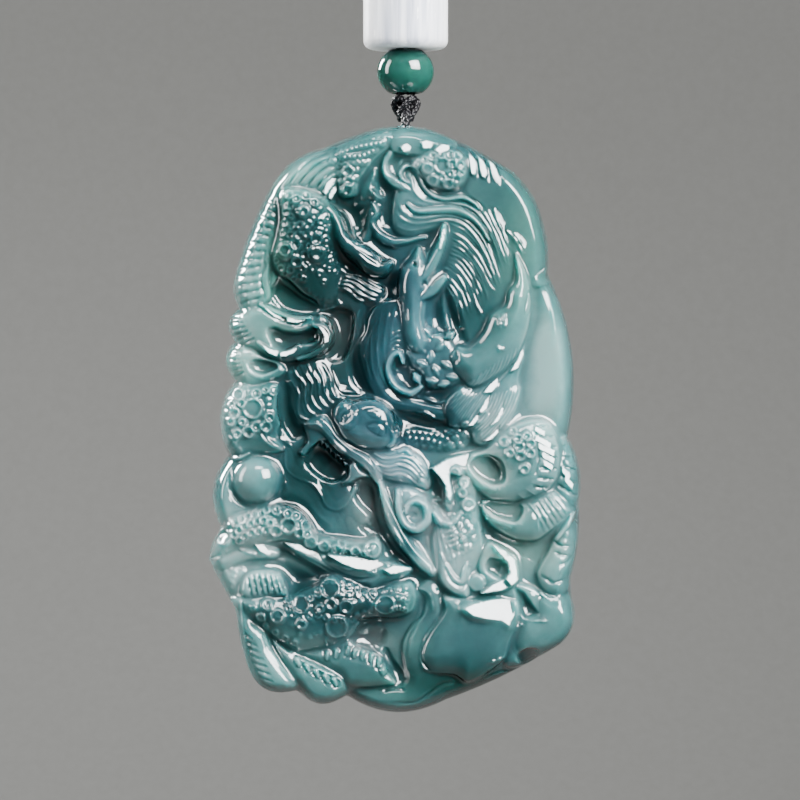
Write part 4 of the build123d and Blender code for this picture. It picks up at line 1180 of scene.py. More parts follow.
lines("plate grooves", 6, 0.4, [(235, 725), (300, 745), (360, 765), (430, 782)],
    [(300, 735), (350, 757), (400, 768), (450, 765)])
mound("pale feathers", -0.5, 1.1, 1.0, [(-10, 740), (50, 719), (110, 712), (150, 711), (190, 722),
    (175, 735), (120, 737), (80, 744), (30, 757), (-15, 760)])
lines("pale feather ridges", 6, -0.4, [(10, 740), (50, 722)], [(75, 716), (100, 722), (128, 728)],
    [(120, 712), (142, 722), (168, 732)])
mound("dotted lump", -0.6, 1.0, 1.8, [(-20, 745), (40, 748), (92, 748), (102, 762), (84, 784), (76, 806),
    (60, 830), (20, 820), (-20, 775)])
rows_of_scales("lump dots", (6, 5, [(30, 762), (52, 752), (70, 758), (60, 775)]),
    (6, 5, [(32, 782), (55, 782), (52, 798), (66, 806)]), rise=0.6, ring_rise=0.05)
mound("lower coil", 0.0, 2.1, 3.6, [(85, 800), (140, 794), (200, 797), (240, 792), (290, 778), (330, 760),
    (380, 768), (420, 782), (460, 784), (500, 775), (545, 774), (562, 800), (546, 826), (500, 836),
    (450, 836), (402, 842), (390, 857), (360, 873), (320, 886), (240, 894), (200, 881), (160, 863),
    (118, 840), (85, 822)])
mound("ribbed fin", 0.0, 1.3, 0.9, [(82, 795), (88, 770), (110, 757), (145, 754), (188, 760), (203, 776),
    (214, 796), (190, 799), (150, 799), (110, 804)])
rungs("fin ribs", 7, 6, 0.45, [(104, 762), (130, 758), (160, 757), (188, 764)],
    [(114, 798), (145, 796), (180, 795), (208, 795)])
scales("lower scales", 0.12, 0.38, [(325, 784, 25), (330, 811, 13), (295, 791, 11), (249, 811, 23),
    (158, 812, 13), (185, 832, 17), (345, 850, 27), (370, 815, 16), (475, 812, 24), (249, 845, 12),
    (140, 834, 9), (215, 803, 9), (275, 800, 8), (300, 818, 9)])
rows_of_scales("lower dots", (9, 7, [(355, 795), (400, 795), (450, 790), (530, 782)]),
    (7, 7, [(392, 808), (430, 802), (440, 818), (400, 830)]),
    (6, 7, [(500, 795), (520, 802), (538, 800), (530, 815)]))
rows_of_scales("lower dots", (5, 6, [(212, 830), (230, 850), (262, 868), (300, 860)]),
    (5, 6, [(280, 840), (290, 866), (330, 872), (372, 845)]), rise=0.5, ring_rise=0.06)
rows_of_scales("lower rings", (9, 7, [(212, 818), (240, 834), (290, 830), (330, 836), (384, 838)]),
    (7, 7, [(292, 772), (340, 772), (380, 780), (420, 790)]),
    (6, 7, [(118, 818), (150, 848), (190, 864), (232, 878)]), (5, 6, [(492, 822), (510, 818), (530, 822)]),
    rise=0.2, ring_rise=0.24)
roll("lower rim", 0.0, 0.6, [(345, 882, 5), (375, 866, 7), (400, 845, 5)], cut=0.1)

# Base: three leaves, the waves beside them, the smooth boulder and the lower right lobe
mound("saddle", -0.1, 0.7, 1.2, [(690, 780), (760, 790), (820, 775), (900, 800), (900, 900), (830, 925),
    (790, 910), (760, 850), (690, 815)], cut=0.0)
mound("base", -0.6, 1.2, 2.6, [(360, 965), (420, 957), (480, 954), (532, 945), (525, 915), (518, 880),
    (545, 850), (575, 830), (580, 805), (560, 785), (600, 770), (640, 800), (700, 945), (760, 950),
    (760, 1000), (640, 1010), (500, 1030), (380, 1010)])
lines("waves", 6, -0.22, [(562, 783), (590, 792), (602, 808), (606, 826)],
    [(545, 790), (570, 812), (566, 832), (540, 858), (526, 890), (532, 930)],
    [(574, 800), (584, 822), (562, 850), (544, 876), (536, 905)])
lines("base lines", 6, 0.4, [(470, 962), (500, 958), (532, 960)],
    [(488, 981), (560, 979), (620, 952), (662, 945)])
mound("left leaf", -0.2, 1.7, 1.4, [(60, 800), (95, 803), (108, 835), (150, 858), (166, 884), (190, 908),
    (216, 930), (244, 954), (240, 972), (190, 1000), (120, 985), (60, 925), (40, 860), (45, 815)])
lines("left leaf rim", 5, -0.35, [(84, 800), (86, 830), (92, 860), (100, 885)])
lines("leaf ridge", 4, -0.2, [(150, 868), (166, 892), (196, 918), (222, 938), (240, 954)])
rungs("left leaf ribs", 8, 5, 0.3, [(88, 862), (100, 890), (115, 915), (140, 945)],
    [(120, 872), (150, 905), (165, 930), (180, 958)])
mound("second leaf", -0.2, 1.4, 1.6, [(165, 868), (200, 884), (240, 896), (300, 914), (350, 931), (372, 955),
    (374, 985), (330, 1010), (270, 990), (240, 962), (216, 930), (186, 900)])
lines("second leaf rim", 6, -0.5, [(228, 902), (270, 914), (310, 927), (352, 940), (360, 956)])
for x, y in ((240, 911), (266, 920), (291, 930), (316, 939), (340, 945)):
    roll("leaf tooth", 0.9, 0.5, [(x - 3, y - 4, 8), (x + 3, y + 5, 5)], cut=0.25)
mound("third leaf", -0.3, 1.3, 1.4, [(245, 896), (300, 888), (350, 882), (376, 872), (402, 884), (440, 894),
    (466, 905), (484, 928), (504, 948), (480, 954), (420, 957), (372, 952), (345, 932), (300, 914)])
for x, y in ((318, 900), (342, 897), (374, 892), (392, 896), (414, 899), (438, 904), (458, 912)):
    roll("leaf tooth", 0.6, 0.5, [(x + 2, y - 5, 6), (x - 2, y + 6, 4)], cut=0.25)
mound("leaf tip", 0.8, 0.3, 0.4, [(457, 925), (470, 917), (480, 927), (468, 937)], sharp=True)
mound("boulder", 0.3, 1.5, 3.2, [(632, 800), (660, 798), (740, 806), (822, 803), (838, 822), (832, 850),
    (812, 880), (800, 905), (762, 925), (702, 947), (660, 934), (600, 928), (574, 905), (580, 880),
    (606, 850), (634, 822)], cut=0.15)
lines("boulder rim", 5, -0.4, [(630, 802), (634, 820), (604, 850), (578, 880), (570, 905), (586, 924),
    (620, 930), (650, 932), (690, 949)])
mound("green foot", -0.2, 1.1, 2.2, [(600, 960), (650, 945), (705, 950), (770, 930), (840, 925), (880, 912),
    (900, 930), (760, 985), (640, 1010), (590, 990)])
mound("lower right lobe", -0.2, 1.5, 2.6, [(832, 850), (850, 836), (882, 828), (892, 802), (930, 796),
    (1000, 795), (1035, 840), (1010, 885), (940, 915), (880, 908), (840, 902), (818, 884)])
hollow("corner recess", -1.1, 0.9, [(822, 785), (850, 788), (872, 806), (892, 830), (868, 838), (846, 836),
    (832, 815)])
hollow("edge recess", -1.6, 0.7, [(828, 902), (858, 885), (892, 890), (884, 914), (850, 921)])
roll("corner lip", 0.0, 0.6, [(896, 794, 5), (915, 803, 8), (952, 808, 7)])
lines("corner folds", 5, -0.35, [(866, 841), (890, 840), (915, 841)], [(826, 860), (834, 850), (846, 845)],
    [(752, 911), (778, 908), (798, 900)])


def blurred(values, reach):
    """The mean of the values round each place, three times over."""
    size = max(int(reach / grain), 1)
    for _ in range(3):
        for axis in (0, 1):
            padded = np.pad(values, [(size + 1, size) if axis == k else (0, 0) for k in (0, 1)], mode="edge")
            total = np.cumsum(padded, axis=axis)
            count = values.shape[axis]
            full = 2 * size + 1
            values = (np.take(total, np.arange(full, full + count), axis=axis)
                      - np.take(total, np.arange(count), axis=axis)) / full
    return values


# The hollows are shallower than drawn, no cut is deeper than the wheel
# reaches between the forms, and the carving dies away at the rim
deep_start = -0.5       # below this height the hollows are drawn in
deep_share = 0.42       # of their depth there, that they keep
wheel_reach = 0.7
wheel_depth = 0.28
carving_fade = 0.5
relief = np.where(relief < deep_start, deep_start + (relief - deep_start) * deep_share, relief)
relief = np.maximum(relief, blurred(relief, wheel_reach) - wheel_depth)

# Faces ground flat last of all, in groups: how far they stand up, their slopes
# to the right and upwards, and how far the stone beside them is dressed down.
# They face the softbox at the upper right and shine white.
least_dressed = 0.2
least_height = 0.02
FACES = [
    (0.25, -0.34, -0.26, 0.2, [
        ("first plate", [(700, 42), (711, 46), (718, 56), (721, 68), (717, 77), (708, 76), (704, 62)]),
        ("second plate", [(726, 46), (738, 52), (746, 62), (749, 74), (744, 83), (735, 80), (731, 66)]),
        ("third plate", [(754, 52), (768, 58), (777, 70), (781, 82), (776, 91), (767, 86), (761, 70)])]),
    (0.2, -0.35, -0.25, 0.2, [
        ("first crest face", [(518, 31), (532, 24), (546, 30), (538, 38), (524, 39)]),
        ("second crest face", [(572, 22), (588, 19), (602, 25), (598, 33), (578, 33)]),
        ("third crest face", [(608, 36), (626, 26), (648, 27), (648, 36), (626, 41)])]),
    (0.55, -0.3, -0.36, 0.3, [
        ("beast's face", [(602, 579), (640, 565), (703, 555), (692, 576), (678, 574), (662, 570), (648, 577),
            (646, 592), (650, 606), (655, 622), (650, 634), (641, 626), (638, 608), (624, 594)])]),
    (0.2, -0.34, -0.3, 0.1, [
        ("first coil plate", [(879, 507), (906, 516), (904, 524), (878, 515)]),
        ("second coil plate", [(880, 522), (922, 536), (920, 545), (880, 531)]),
        ("third coil plate", [(887, 535), (932, 549), (930, 558), (889, 545)]),
        ("fourth coil plate", [(898, 549), (932, 562), (929, 571), (899, 560)]),
        ("fifth coil plate", [(902, 563), (928, 575), (924, 582), (903, 574)]),
        ("first edge plate", [(953, 575), (974, 590), (972, 600), (953, 586)]),
        ("second edge plate", [(961, 591), (983, 606), (980, 616), (961, 602)])]),
    (0.05, -0.34, -0.3, 0.1, [
        ("recess lip's left face", [(150, 304), (176, 315), (206, 323), (205, 327), (176, 320),
            (152, 308)])]),
    (0.12, -0.34, -0.3, 0.1, [
        ("recess lip's right face", [(210, 323), (240, 326), (268, 324), (238, 331), (212, 329)])]),
    (0.15, -0.34, -0.3, 0.1, [
        ("hook face", [(294, 335), (310, 340), (322, 350), (322, 363), (312, 366), (310, 352),
            (302, 344)])]),
    (0.12, -0.34, -0.3, 0.1, [
        ("hook lip's left face", [(142, 367), (165, 376), (188, 380), (184, 388), (160, 382)]),
        ("hook lip's right face", [(192, 381), (218, 378), (242, 371), (228, 382), (206, 388), (192, 388)]),
        ("fin's first face", [(308, 108), (318, 92), (332, 82), (342, 84), (330, 96), (316, 112)]),
        ("fin's second face", [(322, 116), (334, 100), (347, 92), (344, 104), (330, 120)])]),
    (0.15, -0.34, -0.3, 0.1, [
        ("first tip face", [(740, 450), (756, 437), (778, 425), (778, 437), (762, 449)]),
        ("second tip face", [(812, 414), (830, 396), (847, 374), (848, 386), (832, 408)]),
        ("third tip face", [(722, 488), (742, 468), (758, 452), (756, 464), (740, 482)]),
        ("fourth tip face", [(698, 507), (714, 494), (730, 482), (726, 494), (712, 506)]),
        ("fifth tip face", [(760, 506), (780, 488), (796, 466), (794, 480), (780, 498)]),
        ("sixth tip face", [(742, 533), (764, 521), (784, 506), (780, 518), (762, 530)]),
        ("horn face", [(628, 172), (637, 168), (636, 186), (624, 206), (619, 204)])]),
    (0.2, -0.34, -0.3, 0.15, [
        ("pale feather face", [(122, 709), (150, 712), (166, 730), (140, 722)])]),
    (0.2, -0.34, -0.32, 0.15, [
        ("upper plate's face", [(206, 707), (240, 709), (262, 716), (290, 722), (300, 730), (270, 727),
            (236, 719)]),
        ("last plate's face", [(472, 752), (500, 745), (545, 750), (520, 757), (490, 760)])]),
    (0.45, -0.32, -0.37, 0.3, [
        ("ring's upper face", [(764, 709), (800, 721), (826, 736), (808, 740), (784, 724)])]),
    (0.4, -0.32, -0.37, 0.3, [
        ("ring's right face", [(808, 738), (826, 736), (833, 770), (812, 781), (798, 770), (813, 758)])]),
    (0.45, -0.32, -0.37, 0.3, [
        ("ring's lower face", [(735, 792), (762, 779), (798, 769), (812, 780), (790, 787)])]),
    (0.4, -0.32, -0.38, 0.9, [
        ("boulder face", [(688, 818), (710, 811), (760, 804), (790, 803), (812, 807), (818, 828), (810, 848),
            (790, 838), (745, 835), (714, 830)])]),
    (0.35, -0.34, -0.34, 0.3, [
        ("smooth plate's face", [(322, 727), (380, 730), (440, 737), (474, 744), (440, 753), (400, 751),
            (358, 741)])]),
]
ground_flat = []
for lift, slope_x, slope_y, dressed, faces in FACES:
    for name, points in faces:
        line = in_stone(points)
        middle = line.mean(axis=0)
        line = np.concatenate([line, line[:1]])
        part, away = beside(line, max(dressed, least_dressed))[:2]
        within = inside(line, part)
        plain = plain_height(rim[part].clip(0))
        flat = ((plain + relief[part])[within].mean() + lift - plain
                + slope_x * (place_x[part] - middle[0]) + slope_y * (place_y[part] - middle[1]))
        blend = np.where(within, 1, (1 - away / dressed).clip(0, 1) ** 2)
        relief[part] += (flat - relief[part]) * blend
        ground_flat.append((part, within, slope_x, slope_y))
carved = plain_height(rim.clip(0)) + relief * smooth(rim / carving_fade)
height = np.where(rim > 0, np.maximum(carved, least_height), 0)

# The front's slopes, kept for its shading, with the ground faces' own
slopes_up, slopes_across = np.gradient(blurred(height, grain), grain)
for part, within, slope_x, slope_y in ground_flat:
    slopes_across[part][within] = slope_x
    slopes_up[part][within] = slope_y

# Painted shade by how deep each place lies, darkening the jade there, and painted
# light paling it along fine ridges: among the forms, in all, and beside the
# nearest edge, each with its own weight
forms_reach, forms_weight = 0.9, 0.1
sunk_least, sunk_most, sunk_weight = -0.6, 1, 0.15
# The edge term mostly paints fine ridges paler, as painted highlight lines, and darkens creases a little as
# painted shade
edge_least, edge_most, edge_weight = -0.25, 0.05, 1.5
edge_reach = 0.3
inner_relief = np.where(rim > 0, relief, 0)
among_forms = blurred(inner_relief, forms_reach) - relief
sunk_in_all = (-relief / 2).clip(sunk_least, sunk_most)
by_an_edge = (blurred(inner_relief, edge_reach) - relief).clip(edge_least, edge_most)
painted_light_and_shade = among_forms * forms_weight + sunk_in_all * sunk_weight + by_an_edge * edge_weight

# The stone's cloudy colour, with painted light and shade laid over it: darker
# clouds paint shade over channels, hollows and shaded places, and paler ones paint
# light on forms facing the lamps and on thin floors, as though light shone
# through them. Each cloud's middle and half size, then how pale, and where that
# differs how green and, on thin floors, how grey it is
CLOUDS_AND_PAINTED_LIGHT = [
    ("left edge plates", 110, 180, 50, 90, 0.5),
    ("lower left plates", 90, 330, 60, 90, 0.75, 0.2),
    ("smooth strip", 190, 225, 35, 70, 0.3, 0.7),
    ("fin", 250, 80, 80, 30, 0.9, 0.2),
    ("scaled back", 280, 180, 80, 60, -0.6, 0.3),
    ("foot of the scaled back", 340, 245, 80, 35, -1.05, 0.1),
    ("shade by the tail's root", 420, 130, 70, 60, -0.2, 0.3),
    ("middle", 470, 400, 110, 130, -0.45, -0.8),
    ("phoenix", 560, 310, 90, 90, 0.3, -0.6),
    ("dragon's head", 415, 530, 65, 45, 0.7, -0.7),
    ("tail field", 730, 210, 100, 90, -0.05, 0.5),
    ("right shoulder", 860, 140, 60, 100, 0, 0.3),
    ("wing", 780, 420, 110, 60, 0.45, -0.2),
    ("wing root", 690, 470, 80, 40, -0.45, -0.2),
    ("slab", 920, 440, 40, 100, 1, 0.1),
    ("bubble lobe", 90, 480, 60, 40, 0.2),
    ("pearl", 115, 600, 60, 40, 0.75, -0.1),
    ("second beast", 700, 600, 90, 60, 0.6),
    ("body coils", 880, 600, 100, 80, 0.15),
    ("lower right coil", 800, 730, 90, 40, 0.2, 0.1),
    ("lower left coils", 120, 695, 120, 35, 0.85),
    ("lower coil", 330, 810, 140, 50, -0.95),
    ("lower left edge", 30, 720, 40, 60, 0.6),
    ("wing tips", 755, 490, 70, 35, 0.9),
    ("pearl lobe", 30, 620, 30, 50, 0.1),
    ("dragon's whiskers", 510, 575, 50, 25, 0.45, -0.6),
    ("channel below the phoenix", 560, 505, 90, 22, -1.1, -0.1),
    ("grey hollow", 350, 388, 40, 28, -1.3, 0.3),
    ("bubble lobe edge", 40, 480, 30, 60, 0.6),
    ("haunch", 650, 740, 45, 45, 0.85, -0.2),
    ("ring", 770, 740, 50, 35, 0.4),
    ("lower left bulge", 40, 790, 40, 40, 1),
    ("base lobe", 450, 960, 70, 20, 0.2, 0.2),
    ("plumes", 570, 110, 60, 35, 0.5, -0.3),
    ("ribbon", 400, 210, 50, 25, 0.45, -0.3),
    ("right edge coil", 945, 680, 35, 50, 0.5),
    ("shade left of the neck", 485, 275, 30, 45, -0.6),
    ("side of the ribbon", 325, 150, 25, 30, 0.4, 0.1),
    ("third plate lobe", 90, 405, 60, 25, 0.5, 0.2),
    ("shade of the plates", 200, 738, 90, 22, 0.7),
    ("beast's shoulder", 615, 690, 30, 50, 0.8, -0.2),
    ("top of the slab", 920, 360, 25, 40, 0.4),
    ("neck", 540, 290, 30, 40, -0.25, -0.1),
    ("ribbed fin", 140, 780, 50, 22, 0.45),
    ("coil scales", 190, 690, 60, 22, 0.4),
    ("foot of the haunch", 700, 805, 45, 22, 0.4),
    ("breast by the channel", 435, 395, 25, 35, 0.45, -0.3),
    ("below the hook", 300, 402, 45, 16, -0.6, 0.1),
    ("beside the snout", 515, 495, 20, 18, -0.5),
    ("leaves", 180, 900, 120, 60, 0.75, 0.1),
    ("boulder", 740, 870, 100, 40, -0.15),
    ("crown hollow", 390, 150, 40, 30, -0.35, 0.2),
    ("dark channel", 425, 330, 50, 95, -1.1, 0.1),
    ("mouth", 315, 575, 50, 25, -1.3, 0.2),
    ("coil recess", 230, 285, 60, 25, -0.3, 0.5),
    ("left floor", 350, 345, 35, 35, -0.6, 0.5, 0.4),
    ("throat floor", 430, 640, 35, 50, 0.45, 0.2, 0.5),
    ("first recess", 750, 585, 45, 25, 0.3, 0.5, 0.2),
    ("second recess", 800, 652, 50, 16, 0.3, 0.5, 0.2),
    ("third recess", 850, 722, 70, 20, 0.35, 0.5, 0.2),
    ("leaf hollow", 440, 872, 40, 18, 0.45, 0.1, 0.5),
    ("hook recess", 220, 357, 60, 20, 0.1, 0.4, 0.2),
    ("breast", 500, 375, 55, 70, 0.75, -0.6),
    ("edge of the tail", 850, 240, 40, 80, 0.5, 0.1),
    ("crest", 520, 40, 80, 35, 0.45, 0.1),
    ("mane", 290, 430, 75, 55, -0.75),
    ("mane hollow", 195, 500, 40, 35, -0.45, 0.2),
    ("cheek", 235, 635, 65, 50, -1.1, 0.1),
    ("curl", 545, 650, 55, 70, 0.7, -0.3),
    ("collar", 540, 712, 22, 28, -0.8, -0.2),
    ("corner", 860, 800, 60, 50, 0.45, 0.1),
    ("smooth plates", 400, 745, 120, 25, 0.6, -0.2),
    ("waves", 540, 870, 45, 80, 0.35, 0.2),
    ("right rocks", 940, 800, 40, 90, 0.1),
    ("feather floor", 690, 330, 50, 40, -0.6, 0.4),
    ("lower lip", 700, 950, 160, 25, -0.9, 1),
]
# Paleness, greenness and greyness from the clouds, their painted light and shade included
paleness = np.zeros(place_x.shape)
greenness = np.zeros(place_x.shape)
greyness = np.zeros(place_x.shape)
for name, x, y, wide, tall, pale, *tint in CLOUDS_AND_PAINTED_LIGHT:
    green, grey = (*tint, 0, 0)[:2]
    middle = in_stone([(x, y)])[0]
    off_x = (place_x - middle[0]) / mm(wide)
    off_y = (place_y - middle[1]) / (tall / 1000 * stone_height)
    share = np.exp(-off_x ** 2 / 2 - off_y ** 2 / 2)
    paleness += pale * share
    greenness += green * share
    greyness += grey * share

# The mesh: a square grid laid over the stone out to its outline, finer where
# the front turns over, closed by rings over the plain back
cells_across = 400
cells_up = 620
inner_share = 0.86        # of the grid's radius, inside the turned edge
on_outline = 0.9999       # of the grid's radius, past which its points lie on the outline
stone_triangles = 196000
back_fullness = 7         # how far out the back stays full before it turns over

# The back's rings, from the outline in: each one's share of the outline's
# size, and how many points of the ring before it come together in one of its
BACK_RINGS = [(0.997, 1), (0.985, 1), (0.962, 2), (0.93, 1), (0.88, 2), (0.8, 1), (0.68, 2), (0.5, 1),
              (0.3, 3)]


def outline_reach(angle):
    """How far the outline is from the stone's middle, at each angle."""
    turn = np.arctan2(rim_line[:-1, 1], rim_line[:-1, 0])
    order = np.argsort(turn)
    return np.interp(angle, turn[order], np.hypot(*rim_line[:-1].T)[order], period=2 * np.pi)


def read(values, x, y):
    """A grid's values at any place."""
    column = ((x - across[0]) / grain).clip(0, len(across) - 1.001)
    row = ((y - up[0]) / grain).clip(0, len(up) - 1.001)
    i, j = column.astype(int), row.astype(int)
    s, t = column - i, row - j
    return ((values[j, i] * (1 - s) + values[j, i + 1] * s) * (1 - t)
            + (values[j + 1, i] * (1 - s) + values[j + 1, i + 1] * s) * t)


square_x, square_y = np.meshgrid(np.linspace(-1, 1, cells_across + 1), np.linspace(1, -1, cells_up + 1))
disc_x = square_x * np.sqrt(1 - square_y ** 2 / 2)
disc_y = square_y * np.sqrt(1 - square_x ** 2 / 2)
share = np.hypot(disc_x, disc_y).clip(0, 1)
angle = np.arctan2(disc_y, disc_x)
reach = outline_reach(angle)
edge_start = 1 - edge_round / reach
turned_over = np.sin(((share - inner_share) / (1 - inner_share)).clip(0, 1) * np.pi / 2)
out = np.where(share < inner_share, share / inner_share * edge_start,
               edge_start + (1 - edge_start) * turned_over) * reach
front_x, front_z = out * np.cos(angle), out * np.sin(angle)
rim_inside = read(rim, edge_start * reach * np.cos(angle), edge_start * reach * np.sin(angle))
rim_turned = rim_inside * (reach - out) / edge_round
rim_here = np.where(share < inner_share, read(rim, front_x, front_z), rim_turned).clip(0)
front = plain_height(rim_here) + read(relief, front_x, front_z) * smooth(rim_here / carving_fade)
front = front.clip(least_height)
front[share > on_outline] = 0

number = np.arange(front.size).reshape(front.shape)
quads = np.stack([number[:-1, :-1], number[1:, :-1], number[1:, 1:], number[:-1, 1:]], axis=-1)
quads = quads.reshape(-1, 4)
corners = [np.column_stack([front_x.ravel(), -front.ravel(), front_z.ravel()])]
ring = np.concatenate([number[0, :-1], number[:-1, -1], number[-1, :0:-1], number[:0:-1, 0]])
ring_places = corners[0][ring]
back_faces = []
made = front.size
for ring_share, joined_points in BACK_RINGS:
    ring_places = ring_places[::joined_points]
    inner = made + np.arange(len(ring_places))
    next_along = np.roll(ring, -1)
    for k in range(joined_points):
        back_faces.append(np.column_stack([ring[k::joined_points], next_along[k::joined_points], inner]))
    next_outer = np.roll(ring, -joined_points)[::joined_points]
    back_faces.append(np.column_stack([next_outer, np.roll(inner, -1), inner]))
    corners.append(ring_places * ring_share + [0, back_rise * np.sqrt(1 - ring_share ** back_fullness), 0])
    made += len(inner)
    ring = inner
corners.append(np.array([[0, back_rise, 0]]))
back_faces.append(np.column_stack([ring, np.roll(ring, -1), np.full(len(ring), made)]))
triangles = np.concatenate([quads[:, [0, 1, 2]], quads[:, [0, 2, 3]], *back_faces])

crest_share = 0.53        # of the stone's width, from its left side to the crest, under the cord
crest_x = (crest_share - 0.5) * stone_width
stone_low, stone_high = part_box("carved_stone")
stone_middle = np.array([-crest_x, 0, (stone_low[2] + stone_high[2]) * (1000 / 2)])
places = (np.concatenate(corners) + stone_middle) / 1000


def stone_surface(name, places, triangles):
    """A mesh from the stone's places, in metres, and its triangles."""
    mesh = bpy.data.meshes.new(name)
    mesh.vertices.add(len(places))
    mesh.vertices.foreach_set("co", places.ravel())
    mesh.loops.add(3 * len(triangles))
    mesh.loops.foreach_set("vertex_index", triangles.ravel().astype(np.int32))
    mesh.polygons.add(len(triangles))
    mesh.polygons.foreach_set("loop_start", np.arange(0, 3 * len(triangles), 3, dtype=np.int32))
    mesh.update(calc_edges=True)
    mesh.validate()
    return mesh


rough = placed("rough_stone", stone_surface("rough_stone", places, triangles))

# The bore slants from the crest's front down to the back, clear of the strand
bore_sides = 32
bore_radius = 0.00095
bore_drop = 0.0053        # from the crest down to where the bore comes out at the back
bore_out = 0.85           # of the back's rise, where it comes out
bore_overrun = 0.0019     # of the drill, past both ends
inlet = Vector(stone_route[1])
outlet = Vector((0, bore_out * back_rise / 1000, crest_height - bore_drop))
bore_run = outlet - inlet
bore_turn = bore_run.to_track_quat("Z", "Y").to_matrix()
bore_ends = [inlet - bore_run.normalized() * bore_overrun, outlet + bore_run.normalized() * bore_overrun]
bore_places = [end + bore_turn @ Vector((bore_radius * np.cos(a), bore_radius * np.sin(a), 0))
               for end in bore_ends for a in np.arange(bore_sides) * 2 * np.pi / bore_sides]
bore_wall = [(k, (k + 1) % bore_sides, bore_sides + (k + 1) % bore_sides, bore_sides + k)
             for k in range(bore_sides)]
bore_caps = [tuple(range(bore_sides))[::-1], tuple(range(bore_sides, 2 * bore_sides))]
bore_mesh = bpy.data.meshes.new("bore")
bore_mesh.from_pydata(bore_places, [], bore_wall + bore_caps)
bore = placed("bore", bore_mesh)
thinning = rough.modifiers.new("thinning", "DECIMATE")
thinning.ratio = stone_triangles / len(triangles)
drilling = rough.modifiers.new("drilling", "BOOLEAN")
drilling.operation = "DIFFERENCE"
drilling.object = bore
drilling.solver = "EXACT"
stone_mesh = plain_mesh(rough)
stone_mesh.name = "carved_stone_polished"
bpy.data.objects.remove(rough)
bpy.data.objects.remove(bore)
carved_stone = placed("carved_stone_polished", stone_mesh)
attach(carved_stone, "root")
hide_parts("carved_stone")
stone_mesh.shade_smooth()

# Each point keeps, in its depth attribute, the painted shade of its hollows, the painted light of its fine
# ridges and the clouds, for the jade's colour.
# On the back, past a soft seam round the side, the clouds show less.
seam_y = 1.5              # in mm behind the outline's plane
seam_blend = 3
back_share = 0.4          # of the clouds' strength, that is left on the back
count = len(stone_mesh.vertices)
found = np.empty(3 * count, np.float32)
stone_mesh.vertices.foreach_get("co", found)
found = found.reshape(-1, 3) * 1000 - stone_middle
found_x, found_y, found_z = found.T
front_share = smooth((seam_y - found_y) / seam_blend)
depth = (read(painted_light_and_shade, found_x, found_z) * front_share
         - read(paleness, found_x, found_z) * (back_share + (1 - back_share) * front_share))
for name, here in (("depth", depth), ("greenness", read(greenness, found_x, found_z)),
                   ("greyness", read(greyness, found_x, found_z))):
    stone_mesh.attributes.new(name, "FLOAT", "POINT").data.foreach_set("value", here.astype(np.float32))

# The front is shaded by the carving's own slopes, finer than the thinned
# mesh, but not on the round edge, the back or the bore's mouth
shading_start = 0.4       # from the outline, in mm
shading_blend = 0.6
front_level = -1
bore_clear = 2.5
mesh_normals = np.empty(3 * count, np.float32)
stone_mesh.vertices.foreach_get("normal", mesh_normals)
mesh_normals = mesh_normals.reshape(-1, 3)
carved_normals = np.column_stack([-read(slopes_across, found_x, found_z), -np.ones(count),
                                  -read(slopes_up, found_x, found_z)])
carved_normals /= np.linalg.norm(carved_normals, axis=1)[:, None]
inside_rim = smooth((read(rim, found_x, found_z) - shading_start) / shading_blend)
carved_share = (inside_rim * (found_y < front_level))[:, None]
bore_near = np.linalg.norm(found - (np.array(inlet) * 1000 - stone_middle), axis=1) < bore_clear
carved_share[bore_near] = 0
mesh_normals += (carved_normals - mesh_normals) * carved_share
mesh_normals /= np.linalg.norm(mesh_normals, axis=1)[:, None]
stone_mesh.normals_split_custom_set_from_vertices(mesh_normals)
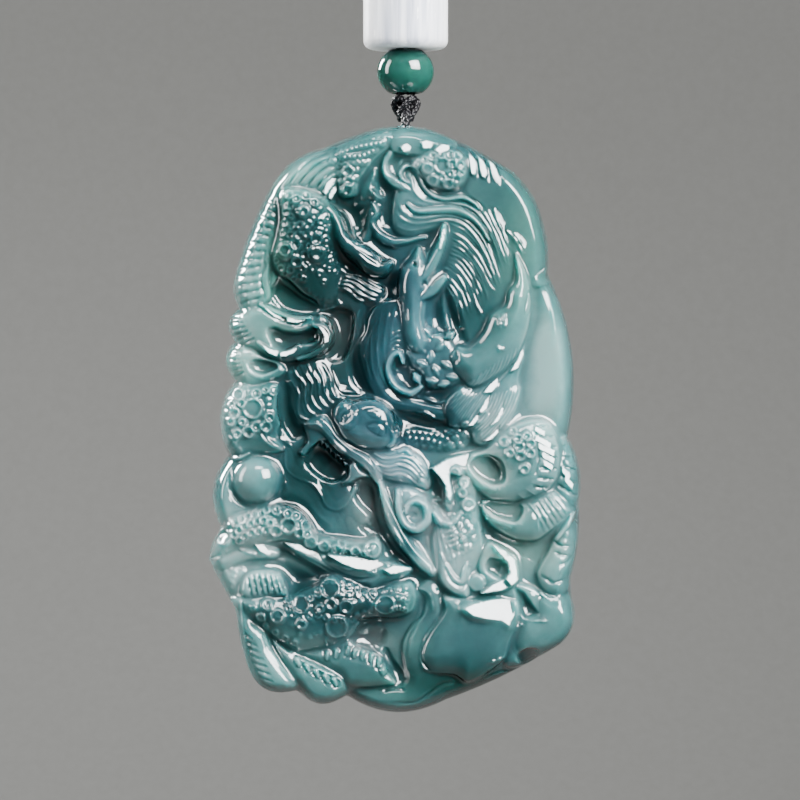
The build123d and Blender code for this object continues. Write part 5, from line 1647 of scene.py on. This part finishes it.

# Polished translucent jade: teal, painted pale where a form stands up to the
# light and along fine ridges, with painted shade deep blue-green in the
# hollows, clouded by wisps of 2 to 6 mm and fine grain, under a glassy polish.
jade, tree, output = new_material("polished translucent blue-green jade")
places = add_node(tree, "ShaderNodeTexCoord").outputs["Object"]
# Reads the painted shade and light, with the clouds, that set the jade's colour
painted_shade_and_clouds = add_node(tree, "ShaderNodeAttribute", {"attribute_name": "depth"}).outputs["Fac"]
clouds = add_node(tree, "ShaderNodeTexNoise", {"Scale": 1 / 0.006, "Detail": 5.0, "Distortion": 1.0},
                  {"Vector": places})
wisps = add_node(tree, "ShaderNodeTexNoise", {"Scale": 1 / 0.0012, "Detail": 4.0}, {"Vector": places})
shift = add_node(tree, "ShaderNodeMath", {"operation": "MULTIPLY_ADD", 1: 0.5, 2: -0.25},
                 {0: clouds.outputs["Fac"]})
fine_shift = add_node(tree, "ShaderNodeMath", {"operation": "MULTIPLY_ADD", 1: 0.3},
                      {0: wisps.outputs["Fac"], 2: shift.outputs[0]})
total = add_node(tree, "ShaderNodeMath", {"operation": "ADD"}, {0: painted_shade_and_clouds, 1: fine_shift.outputs[0]})
spread = add_node(tree, "ShaderNodeMapRange", {"From Min": -1.0, "From Max": 1.0},
                  {"Value": total.outputs[0]})
# The ramp runs from the painted light's pale teal through teal to the painted shade's deep blue-green
ramp = add_node(tree, "ShaderNodeValToRGB", {}, {"Fac": spread.outputs[0]})
ramp.color_ramp.elements[0].color = linear("#657f7e")
ramp.color_ramp.elements[1].color = linear("#0e2628")
for position, colour in ((0.25, "#426566"), (0.42, "#315354"), (0.58, "#244346"), (0.76, "#183539")):
    ramp.color_ramp.elements.new(position).color = linear(colour)
green_read = add_node(tree, "ShaderNodeAttribute", {"attribute_name": "greenness"}).outputs["Fac"]
green_tint = {"data_type": "RGBA", "blend_type": "MULTIPLY", 7: (0.86, 1.0, 0.80, 1)}
greener = add_node(tree, "ShaderNodeMix", green_tint, {0: green_read, 6: ramp.outputs[0]})
blue_read = add_node(tree, "ShaderNodeMath", {"operation": "MULTIPLY", 1: -1.0}, {0: green_read})
blue_tint = {"data_type": "RGBA", "blend_type": "MULTIPLY", 7: (0.85, 0.86, 1.0, 1)}
bluer = add_node(tree, "ShaderNodeMix", blue_tint, {0: blue_read.outputs[0], 6: greener.outputs[2]})
# Thin floors are painted greyer, as though light shone through them
grey_read = add_node(tree, "ShaderNodeAttribute", {"attribute_name": "greyness"}).outputs["Fac"]
grey_side = add_node(tree, "ShaderNodeMath", {"operation": "SUBTRACT", 0: 1.0}, {1: grey_read})
jade_colour = add_node(tree, "ShaderNodeHueSaturation", {},
                       {"Saturation": grey_side.outputs[0], "Color": bluer.outputs[2]})
surface = add_node(tree, "ShaderNodeBsdfPrincipled", {
    "IOR": 1.66, "Roughness": 0.05, "Subsurface Weight": 0.85, "Subsurface Radius": (0.35, 1.0, 0.95),
    "Subsurface Scale": 0.006}, {"Base Color": jade_colour.outputs[0]})
tree.links.new(surface.outputs[0], output.inputs["Surface"])
stone_mesh.materials.clear()
stone_mesh.materials.append(jade)
